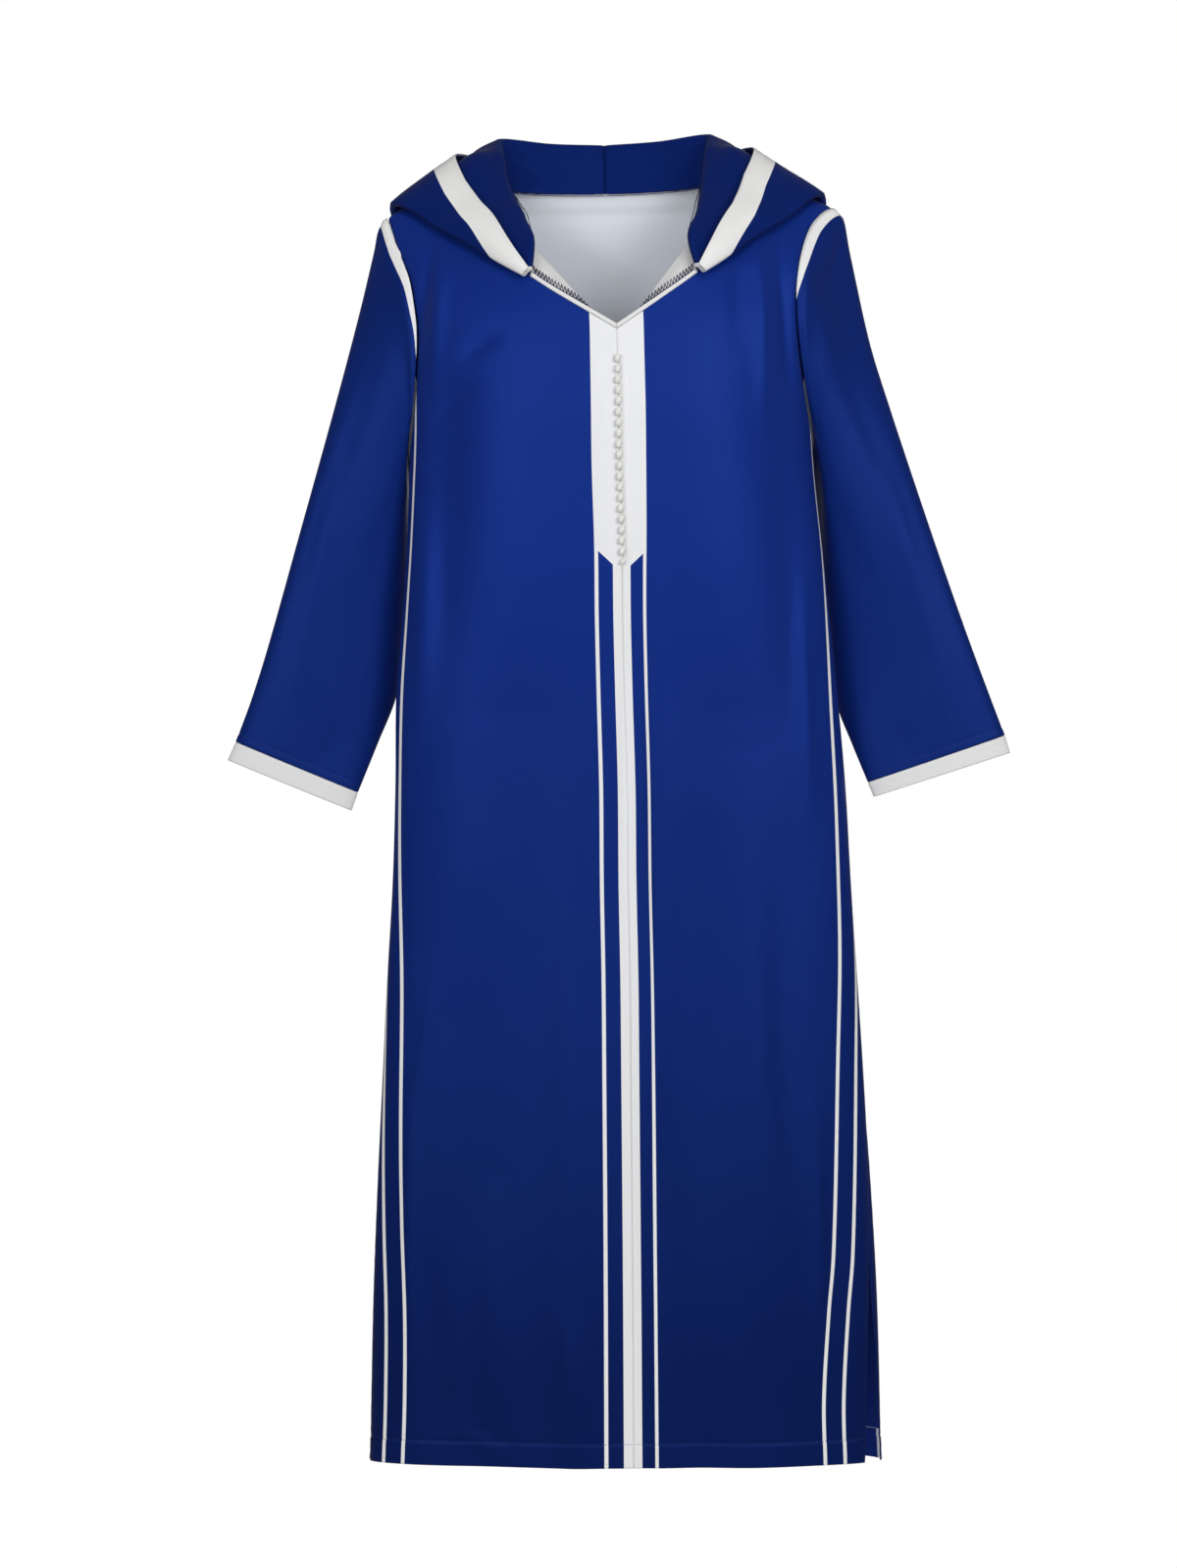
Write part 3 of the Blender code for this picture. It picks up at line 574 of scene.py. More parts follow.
class Crease(NamedTuple):
    """A soft ridge, or a trough if its height is negative, from (a0, b0) to (a1, b1).

    a and b are the two lengths that the piece is measured by, and bow bends the line.
    """

    a0: float
    b0: float
    a1: float
    b1: float
    width: float
    height: float
    bow: float = 0.0


def crease_field(creases: Sequence[Crease], a: Array, b: Array) -> Array:
    """Sum of the creases: each is a bell across its line and a sine along it.

    Args:
        creases: The creases.
        a: First length of each point.
        b: Second length of each point.

    Returns:
        How far each point is lifted, in millimetres.
    """
    total = np.zeros(np.broadcast(a, b).shape)
    for c in creases:
        run, rise = c.a1 - c.a0, c.b1 - c.b0
        length = math.hypot(run, rise)
        t = ((a - c.a0) * run + (b - c.b0) * rise) / length**2
        off = ((a - c.a0) * -rise + (b - c.b0) * run) / length
        fade = np.sin(math.pi * np.clip(t, 0, 1)) ** 1.3
        total = total + c.height * fade * bell(off - c.bow * np.sin(math.pi * t), c.width)
    return total


class Gather(NamedTuple):
    """Small gathers beside a seam, in millimetres."""

    reach: float
    height: float
    pitch: float


def pucker(distance: Array, place: Array, reach: float, height: float, pitch: float) -> Array:
    """Small gathers beside a seam: sines of uneven pitch along it that fade away from it.

    Args:
        distance: How far each point is from the seam.
        place: How far along the seam it is.
        reach: How far the gathers run from the seam.
        height: Half the height of the deepest.
        pitch: The usual distance between two.

    Returns:
        How far each point is lifted, in millimetres.
    """
    wander = place + 0.35 * pitch * np.sin(place / (2.7 * pitch))
    wave = np.sin(2 * math.pi * wander / pitch) * (0.6 + 0.4 * np.sin(place / (3.3 * pitch)))
    return height * wave * np.exp(-distance / reach)


# ---------------------------------------------------------------- meshes


@dataclass
class Cloth:
    """One piece of cloth as a grid of points, in millimetres, with its lengths.

    Args:
        name: The piece's name.
        grid: Points of its outer face, rows by columns.
        uv: Two lengths along the cloth at each point, in millimetres. It has one column more
            than the grid if the last column joins the first.
        marks: Named lengths at each point, in millimetres, for the prints.
    """

    name: str
    grid: Array
    uv: Array
    marks: dict[str, Array] = field(default_factory=dict)

    def faces(self) -> tuple[Array, Array]:
        """Corners of each four-sided face, as points and as places in uv."""
        rows, columns = self.grid.shape[:2]
        wide = self.uv.shape[1]
        i, j = np.meshgrid(np.arange(rows - 1), np.arange(wide - 1), indexing="ij")
        ways = ((0, 0), (0, 1), (1, 1), (1, 0))
        at = [((i + p) * columns + (j + q) % columns).ravel() for p, q in ways]
        uv_at = [((i + p) * wide + j + q).ravel() for p, q in ways]
        return np.stack(at, axis=1), np.stack(uv_at, axis=1)

    def build(self, materials: Materials, out: Array, wall: float) -> bpy.types.Object:
        """Makes the object, with its wall given by Solidify inside the outer face.

        Args:
            materials: The right side's and the wrong side's material.
            out: One outward direction at each point, to turn the faces by.
            wall: The wall's thickness, in millimetres.

        Returns:
            The new object, linked to the scene.
        """
        corners, uv_at = self.faces()
        points = self.grid.reshape(-1, 3)
        a, b, c, d = (points[corners[:, k]] for k in range(4))
        facing = np.sum(np.cross(c - a, d - b) * out.reshape(-1, 3)[corners[:, 0]])
        if facing < 0:
            corners, uv_at = corners[:, ::-1], uv_at[:, ::-1]
        piece = new_object(self.name, points * MM, corners, materials)
        layer = piece.data.uv_layers.new(name="lengths")
        lengths = self.uv.reshape(-1, 2)[uv_at.ravel()] * MM
        layer.data.foreach_set("uv", lengths.astype(np.float32).ravel())
        for name, values in self.marks.items():
            mark = piece.data.attributes.new(name, "FLOAT", "POINT")
            mark.data.foreach_set("value", (values * MM).astype(np.float32).ravel())
        shell = piece.modifiers.new("wall", "SOLIDIFY")
        shell.thickness, shell.offset = wall * MM, -1.0
        shell.material_offset = len(materials) - 1
        return piece


def new_object(name: str, points: Array, faces: Array, materials: Materials) -> bpy.types.Object:
    """A smooth mesh object from points in metres and faces, linked to the scene."""
    mesh = bpy.data.meshes.new(name)
    mesh.from_pydata(points.tolist(), [], faces.tolist())
    mesh.update()
    mesh.shade_smooth()
    for material in materials:
        mesh.materials.append(material)
    piece = bpy.data.objects.new(name, mesh)
    bpy.context.scene.collection.objects.link(piece)
    return piece


def joined(shapes: Sequence[tuple[Array, Array]]) -> tuple[Array, Array]:
    """Several shapes' points and faces as one."""
    starts = np.cumsum([0] + [len(p) for p, _ in shapes[:-1]])
    faces = [f + s for (_, f), s in zip(shapes, starts, strict=True)]
    return np.concatenate([p for p, _ in shapes]), np.concatenate(faces)


def tube(path: Array, radius: float, corners: int = 6, closed: bool = False) -> Shape:
    """A round cord along a path, or a ring if it is closed.

    Args:
        path: Points along the middle.
        radius: The cord's radius.
        corners: Sides of the cord.
        closed: True if the last point joins the first.

    Returns:
        Points, in the path's units, and four-sided faces.
    """
    ring = np.roll(path, -1, 0) - np.roll(path, 1, 0)
    way = unit(ring if closed else np.gradient(path, axis=0))
    side = unit(np.cross(way, np.array([0.13, 0.31, 0.94])))
    up = np.cross(side, way)
    turn = np.linspace(0, 2 * math.pi, corners, endpoint=False)
    ring = np.cos(turn)[None, :, None] * side[:, None] + np.sin(turn)[None, :, None] * up[:, None]
    reach = np.full(len(path), radius)
    if not closed:
        reach[[0, -1]] = radius * 0.35
    points = path[:, None] + ring * reach[:, None, None]
    count = len(path) if closed else len(path) - 1
    i, j = np.meshgrid(np.arange(count), np.arange(corners), indexing="ij")
    n, k = (i + 1) % len(path), (j + 1) % corners
    faces = np.stack([i * corners + j, i * corners + k, n * corners + k, n * corners + j], -1)
    return points.reshape(-1, 3), faces.reshape(-1, 4)


def resampled(path: Array, pitch: float) -> Array:
    """Points about a pitch apart along a chain of points."""
    at = travelled(path)
    stops = np.linspace(0, at[-1], max(2, int(round(at[-1] / pitch)) + 1))
    return np.stack([np.interp(stops, at, path[:, k]) for k in range(3)], axis=1)


def stitches(path: Array, pitch: float, share: float, radius: float) -> tuple[Array, Array]:
    """A row of stitches along a path: one short rod to each pitch, sunk at both its ends.

    Args:
        path: Points on the cloth along the row.
        pitch: The distance from one stitch to the next.
        share: The part of the pitch that a stitch shows.
        radius: The thread's radius.

    Returns:
        Points and four-sided faces.
    """
    stops = resampled(path, pitch)
    start, end = stops[:-1], stops[:-1] + (stops[1:] - stops[:-1]) * share
    way = unit(end - start)
    side = unit(np.cross(way, np.array([0.13, 0.31, 0.94])))
    up = np.cross(side, way)
    corners, along_it = 5, np.array([0.0, 0.25, 0.75, 1.0])
    swell = np.array([0.3, 1.0, 1.0, 0.3]) * radius
    turn = np.linspace(0, 2 * math.pi, corners, endpoint=False)
    ring = np.cos(turn)[:, None] * side[:, None] + np.sin(turn)[:, None] * up[:, None]
    middle = start[:, None] + (end - start)[:, None] * along_it[:, None]
    points = middle[:, :, None] + ring[:, None] * swell[:, None, None]
    s, i, j = np.meshgrid(np.arange(len(start)), np.arange(3), np.arange(corners), indexing="ij")
    base, k = s * 4 * corners, (j + 1) % corners
    low, high = base + i * corners, base + (i + 1) * corners
    faces = np.stack([low + j, low + k, high + k, high + j], -1)
    return points.reshape(-1, 3), faces.reshape(-1, 4)


def zigzag(path: Array, across: Array, pitch: float, width: float, radius: float) -> Shape:
    """Overlocking: one thread that swings from side to side of a path, and one down its edge.

    Args:
        path: Points along the overlocked edge.
        across: The way across the edge at each point.
        pitch: Half the length of one swing.
        width: How far the thread swings.
        radius: The thread's radius.

    Returns:
        Points and four-sided faces.
    """
    at = travelled(path)
    stops = np.linspace(0, at[-1], max(4, int(at[-1] / pitch)))
    middle = np.stack([np.interp(stops, at, path[:, k]) for k in range(3)], axis=1)
    sideways = np.stack([np.interp(stops, at, across[:, k]) for k in range(3)], axis=1)
    swing = np.where(np.arange(len(stops)) % 2 == 0, 0.0, width)[:, None]
    edge = resampled(path, 2 * pitch)
    return joined([tube(middle + sideways * swing, radius, 4), tube(edge, radius, 4)])


# ---------------------------------------------------------------- finishes


class Graph:
    """Adds and joins shader nodes in one node tree."""

    def __init__(self, tree: bpy.types.NodeTree) -> None:
        """Keeps the tree that the nodes go in."""
        self.tree = tree

    def add(self, kind: str, inputs: dict | None = None, **settings: object) -> bpy.types.Node:
        """A new node.

        Args:
            kind: The node's type, without its ShaderNode.
            inputs: What each input takes: another node's socket, which is linked, or a value.
            settings: The node's own settings.

        Returns:
            The node.
        """
        node = self.tree.nodes.new("ShaderNode" + kind)
        for name, value in settings.items():
            setattr(node, name, value)
        return self.filled(node, inputs or {})

    def filled(self, node: bpy.types.Node, inputs: dict) -> bpy.types.Node:
        """The node, with a link or a value given to each named input."""
        for key, value in inputs.items():
            if isinstance(value, bpy.types.NodeSocket):
                self.tree.links.new(value, node.inputs[key])
            else:
                node.inputs[key].default_value = value
        return node

    def math(
        self, operation: str, a: object, b: object = 0.0, clamp: bool = False
    ) -> bpy.types.NodeSocket:
        """The result of one sum on two values or sockets."""
        return self.add("Math", {0: a, 1: b}, operation=operation, use_clamp=clamp).outputs[0]

    def group(self, tree: bpy.types.NodeTree, inputs: dict) -> bpy.types.Node:
        """A node that uses a group, with its inputs."""
        node = self.tree.nodes.new("ShaderNodeGroup")
        node.node_tree = tree
        return self.filled(node, inputs)


def new_group(
    name: str, inputs: Sequence[tuple[str, str, float]], output: tuple[str, str]
) -> tuple[bpy.types.NodeTree, bpy.types.Node, bpy.types.Node]:
    """An empty node group.

    Args:
        name: The group's name.
        inputs: Each input's name, kind of socket and default, which a vector leaves out.
        output: The output's name and kind of socket.

    Returns:
        The group, its input node and its output node.
    """
    tree = bpy.data.node_groups.new(name, "ShaderNodeTree")
    for label, kind, default in inputs:
        socket = tree.interface.new_socket(
            name=label, in_out="INPUT", socket_type="NodeSocket" + kind
        )
        if kind == "Float":
            socket.default_value = default
    label, kind = output
    tree.interface.new_socket(name=label, in_out="OUTPUT", socket_type="NodeSocket" + kind)
    return tree, tree.nodes.new("NodeGroupInput"), tree.nodes.new("NodeGroupOutput")


def band_group() -> bpy.types.NodeTree:
    """A mask that is 1 where a value lies between low and high, with a soft edge."""
    defaults = (("Value", 0.0), ("Low", 0.0), ("High", 1.0), ("Soft", 0.0003))
    sockets = [(label, "Float", default) for label, default in defaults]
    tree, given, result = new_group("band", sockets, ("Mask", "Float"))
    g = Graph(tree)
    above = g.math("SUBTRACT", given.outputs["Value"], given.outputs["Low"])
    below = g.math("SUBTRACT", given.outputs["High"], given.outputs["Value"])
    rise = g.math("DIVIDE", above, given.outputs["Soft"], True)
    fall = g.math("DIVIDE", below, given.outputs["Soft"], True)
    tree.links.new(g.math("MULTIPLY", rise, fall), result.inputs["Mask"])
    return tree


def tone_group() -> bpy.types.NodeTree:
    """Uneven dyeing: a factor near 1 from slow and fine noise, by a place in metres."""
    sockets = [("Place", "Vector", 0.0), ("Slow", "Float", 0.12), ("Fine", "Float", 0.05)]
    tree, given, result = new_group("tone", sockets, ("Factor", "Float"))
    g = Graph(tree)
    slow = g.add("TexNoise", {"Vector": given.outputs["Place"], "Scale": 4.0, "Detail": 2.0})
    fine = g.add("TexNoise", {"Vector": given.outputs["Place"], "Scale": 420.0, "Detail": 3.0})
    parts = [
        g.math("MULTIPLY", g.math("SUBTRACT", n.outputs["Fac"], 0.5), given.outputs[k])
        for n, k in ((slow, "Slow"), (fine, "Fine"))
    ]
    total = g.math("ADD", g.math("ADD", parts[0], parts[1]), 1.0)
    tree.links.new(total, result.inputs["Factor"])
    return tree


def weave_group() -> bpy.types.NodeTree:
    """Height of a plain weave: two sines across each other, by lengths in metres, with grain."""
    sockets = [("Lengths", "Vector", 0.0), ("Pitch", "Float", 0.0005)]
    tree, given, result = new_group("weave", sockets, ("Height", "Float"))
    g = Graph(tree)
    split = g.add("SeparateXYZ", {0: given.outputs["Lengths"]})
    waves = []
    for axis in ("X", "Y"):
        turns = g.math("DIVIDE", split.outputs[axis], given.outputs["Pitch"])
        waves.append(g.math("SINE", g.math("MULTIPLY", turns, 2 * math.pi)))
    grain = g.add("TexNoise", {"Vector": given.outputs["Lengths"], "Scale": 900.0, "Detail": 2.0})
    woven = g.math("MULTIPLY", g.math("MULTIPLY", waves[0], waves[1]), 0.4)
    tree.links.new(g.math("ADD", woven, grain.outputs["Fac"]), result.inputs["Height"])
    return tree


@dataclass(frozen=True)
class Band:
    """A printed white shape: where each named coordinate lies between two values, in metres.

    Args:
        limits: For each coordinate, its lower and upper value.
    """

    limits: tuple[tuple[str, float, float], ...]


@dataclass(frozen=True)
class ClothFinish:
    """A smooth woven polyester with a slight sheen, dyed, perhaps printed, and perhaps with painted
    shade towards the hem.

    Args:
        name: The material's name.
        colour: The ground colour, linear.
        print_colour: The colour of the printed shapes, linear.
        bands: The printed shapes.
        roughness: How dull it is.
        gloss: Strength of its reflection.
        gloss_tint: Colour of its reflection.
        sheen: How strong the sheen at grazing angles is.
        painted_hem_shade: Painted shade: how much darker the ground is made at the hem than
            at the shoulders, standing in for the light that falls off down the robe.
        shade_from: Height where the painted shade starts, in metres.
        shade_to: Height where it is full.
        bump: Strength of the weave.
        slow: How uneven the dyeing is over large distances.
    """

    name: str
    colour: tuple[float, float, float]
    print_colour: tuple[float, float, float] = (0.82, 0.82, 0.80)
    bands: tuple[Band, ...] = ()
    roughness: float = 0.46
    gloss: float = 0.5
    gloss_tint: tuple[float, float, float] = (0.08, 0.20, 1.0)
    sheen: float = 0.02
    painted_hem_shade: float = 0.0
    shade_from: float = -0.35
    shade_to: float = -1.25
    bump: float = 0.10
    slow: float = 0.14

    def material(self, groups: Groups) -> bpy.types.Material:
        """Builds the material.

        Args:
            groups: The node groups by name.

        Returns:
            The material.
        """
        made = bpy.data.materials.new(self.name)
        made.use_nodes = True
        g = Graph(made.node_tree)
        shader = made.node_tree.nodes["Principled BSDF"]
        place = g.add("TexCoord").outputs["Object"]
        lengths = g.add("UVMap", uv_map="lengths").outputs["UV"]
        tone = g.group(groups["tone"], {"Place": place, "Slow": self.slow}).outputs["Factor"]
        height = g.add("SeparateXYZ", {0: place}).outputs["Z"]
        # Painted shade: the ground is darkened from the shoulders down to the hem, standing in for
        # the light that falls off down the robe.
        limits = {1: self.shade_from, 2: self.shade_to, 3: 1.0, 4: 1.0 - self.painted_hem_shade}
        low = g.add("MapRange", {"Value": height} | limits)
        factor = g.math("MULTIPLY", tone, low.outputs["Result"])
        ground = g.add("CombineXYZ", dict(enumerate(self.colour)))
        scaled = g.add("VectorMath", {0: ground.outputs[0], "Scale": factor}, operation="SCALE")
        colour = scaled.outputs[0]
        if self.bands:
            parts = {"Factor": self.mask(g, groups, lengths), "A": colour, "B": self.print_colour}
            colour = g.add("Mix", parts, data_type="VECTOR").outputs["Result"]
        made.node_tree.links.new(colour, shader.inputs["Base Color"])
        weave = g.group(groups["weave"], {"Lengths": lengths}).outputs["Height"]
        bump = g.add("Bump", {"Strength": self.bump, "Distance": 0.0002, "Height": weave})
        made.node_tree.links.new(bump.outputs["Normal"], shader.inputs["Normal"])
        shader.inputs["Roughness"].default_value = self.roughness
        shader.inputs["Sheen Weight"].default_value = self.sheen
        shader.inputs["Sheen Roughness"].default_value = 0.45
        shader.inputs["Specular IOR Level"].default_value = self.gloss
        shader.inputs["Specular Tint"].default_value = (*self.gloss_tint, 1.0)
        return made

    def mask(
        self, g: Graph, groups: Groups, lengths: bpy.types.NodeSocket
    ) -> bpy.types.NodeSocket:
        """The printed shapes as one mask.

        Args:
            g: The material's graph.
            groups: The node groups by name.
            lengths: The socket of the lengths along the cloth.

        Returns:
            A socket that is 1 on the print.
        """
        split = g.add("SeparateXYZ", {0: lengths})
        values = {"u": split.outputs["X"], "v": split.outputs["Y"]}
        total = None
        for band in self.bands:
            mask = None
            for name, low, high in band.limits:
                if name not in values:
                    values[name] = g.add("Attribute", attribute_name=name).outputs["Fac"]
                given = {"Value": values[name], "Low": low, "High": high}
                one = g.group(groups["band"], given).outputs["Mask"]
                mask = one if mask is None else g.math("MULTIPLY", mask, one)
            total = mask if total is None else g.math("MAXIMUM", total, mask)
        return total


@dataclass(frozen=True)
class ThreadFinish:
    """Sewing thread, in one colour."""

    name: str
    colour: tuple[float, float, float]
    roughness: float = 0.6

    def material(self) -> bpy.types.Material:
        """Builds the material: the colour, with a fine noise for its twist."""
        made = bpy.data.materials.new(self.name)
        made.use_nodes = True
        g = Graph(made.node_tree)
        shader = made.node_tree.nodes["Principled BSDF"]
        noise = g.add("TexNoise", {"Vector": g.add("TexCoord").outputs["Object"], "Scale": 900.0})
        ground = g.add("CombineXYZ", dict(enumerate(self.colour)))
        factor = g.math("ADD", g.math("MULTIPLY", noise.outputs["Fac"], 0.4), 0.8)
        toned = g.add("VectorMath", {0: ground.outputs[0], "Scale": factor}, operation="SCALE")
        made.node_tree.links.new(toned.outputs[0], shader.inputs["Base Color"])
        shader.inputs["Roughness"].default_value = self.roughness
        return made


class Finishes:
    """Every material of the robe, made once."""

    BLUE = (0.0045, 0.0215, 0.185)
    WHITE = (0.74, 0.74, 0.74)
    WRONG = (0.76, 0.79, 0.83)
    # Painted shade: the sleeves, the hood and the hood's lining are darker copies of the same blue,
    # standing in for the shade they lie in.
    PAINTED_SHADE_SCALES = (0.72, 0.62, 0.60)
    LINE = 0.0043

    def __init__(self) -> None:
        """Builds the node groups and the materials."""
        groups = {"band": band_group(), "tone": tone_group(), "weave": weave_group()}
        blue, far = self.BLUE, 9.0
        stripes = (
            Band((("seam", 0.0213, 0.0213 + self.LINE),)),
            Band((("seam", 0.0438, 0.0438 + self.LINE),)),
        )
        below = ("v", -2.0, -0.100)
        front = (
            *(Band((*stripe.limits, below)) for stripe in stripes),
            Band((("bib", 0.0, 0.0300), ("chevron", 0.0, far))),
            Band((("bib", -1.0, 0.0103),)),
            Band((("bib", 0.0257, 0.0300),)),
        )
        # Colours of the sleeves, the hood and the lining: the blue darkened as painted shade.
        sleeve, hood, lining = (tuple(part * k for part in blue) for k in self.PAINTED_SHADE_SCALES)
        # The fronts, the back and the sleeves carry painted shade that darkens their blue towards
        # the hem.
        self.front = ClothFinish(
            "printed_front", blue, painted_hem_shade=0.65, bands=front
        ).material(groups)
        self.back = ClothFinish(
            "printed_back", blue, painted_hem_shade=0.65, bands=stripes
        ).material(groups)
        cap = (Band((("cap", -1.0, 0.0),)),)
        self.sleeve = ClothFinish(
            "printed_sleeve", sleeve, painted_hem_shade=0.5, bands=cap
        ).material(groups)
        rim = (Band((("rim", -0.001, 0.0285),)),)
        self.hood = ClothFinish("printed_hood", hood, gloss=0.3, bands=rim).material(groups)
        notch = (Band((("u", -1.0, 0.0045),)),)
        self.lining = ClothFinish(
            "hood_lining", lining, gloss=0.25, bands=notch
        ).material(groups)
        self.white = ClothFinish(
            "white_cloth", self.WHITE, roughness=0.6, gloss=0.2, gloss_tint=(1, 1, 1), slow=0.03
        ).material(groups)
        dull = {"roughness": 0.7, "slow": 0.05, "sheen": 0.0}
        self.wrong = ClothFinish("wrong_side", self.WRONG, **dull).material(groups)
        # Painted shade: the sleeve's inner face for 60 mm below the armhole takes the sleeve's
        # darkened blue, standing in for the shade inside the armhole.
        armhole_painted_shade = (Band((("v", -0.01, 0.06),)),)
        self.sleeve_wrong = ClothFinish(
            "sleeve_wrong_side", self.WRONG, sleeve, armhole_painted_shade, **dull
        ).material(groups)
        turned = (
            Band((("v", -2.0, -1.296), ("edge", 0.0145, far))),
            Band((("v", -2.0, -1.086), ("edge", -1.0, 0.0095))),
            Band((("v", -1.296, -1.086), ("edge", -1.0, 0.032))),
        )
        self.panel_wrong = ClothFinish(
            "panel_wrong_side", self.WRONG, blue, turned, **dull
        ).material(groups)
        self.knot = ThreadFinish("button_cloth", (0.76, 0.75, 0.71), 0.65).material()
        self.navy = ThreadFinish("navy_thread", (0.004, 0.009, 0.085)).material()
        self.pale = ThreadFinish("pale_thread", (0.72, 0.72, 0.72)).material()


# ---------------------------------------------------------------- the robe's pieces


@dataclass
class Garment:
    """What every sub-assembly is built from: the form, the seams and the finishes."""

    form: BodyForm
    seams: Seams
    finishes: Finishes
    wall: float = 0.9

    def sewn(
        self,
        cloth: Cloth,
        sides: Sequence[bpy.types.Material],
        out: Array,
        nodes: Sequence[str],
        slot: str,
    ) -> bpy.types.Object:
        """Builds a piece of cloth and lets it stand for its CAD node.

        Args:
            cloth: The piece, before the robe's lean.
            sides: The right side's and the wrong side's material.
            out: Outward directions.
            nodes: The CAD nodes that it stands for.
            slot: Not used.

        Returns:
            The piece.
        """
        cloth.grid = self.form.leant(cloth.grid)
        piece = cloth.build(sides, out, self.wall)
        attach(piece, "root")
        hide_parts(*nodes)
        log.info("%s: %d points", piece.name, len(piece.data.vertices))
        return piece

    def thread(
        self, name: str, shapes: Sequence[Shape], material: bpy.types.Material, slot: str
    ) -> bpy.types.Object:
        """Builds one trim from shapes in millimetres, before the robe's lean.

        Args:
            name: The piece's name.
            shapes: Points and faces of each part.
            material: The thread's material.
            slot: Not used.

        Returns:
            The piece.
        """
        points, faces = joined(shapes)
        piece = new_object(name, self.form.leant(points) * MM, faces, [material])
        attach(piece, "root")
        log.info("%s: %d points", piece.name, len(points))
        return piece


@dataclass(frozen=True)
class PanelSizes:
    """How a front or back panel is divided, and the sizes of its making, in millimetres."""

    neck_rows: int = 26
    slit_rows: int = 22
    chest_rows: int = 30
    skirt_rows: int = 130
    hem_rows: int = 22
    columns: int = 92
    back_columns: int = 150
    hem_turn: float = 26.0
    hem_dense: float = 40.0
    seam_dip: float = 1.3
    seam_reach: float = 3.0
    crease_depth: float = 1.3
    hem_fullness: float = 0.55
    stitch_dent: float = 0.75
    side_gather: Gather = Gather(9.0, 0.28, 13.0)
    back_gather: Gather = Gather(9.0, 0.25, 13.0)
    neck_gather: Gather = Gather(7, 0.25, 10)
    top_gather: Gather = Gather(10.0, 0.5, 8.0)
    bib_half: float = 30.0
    chevron_z: float = -374.5
    chevron_slope: float = 0.94
    middle_dip: float = 0.9
    placket_dip: float = 0.35
    placket_half: float = 11.0
    sunk: float = 1.3


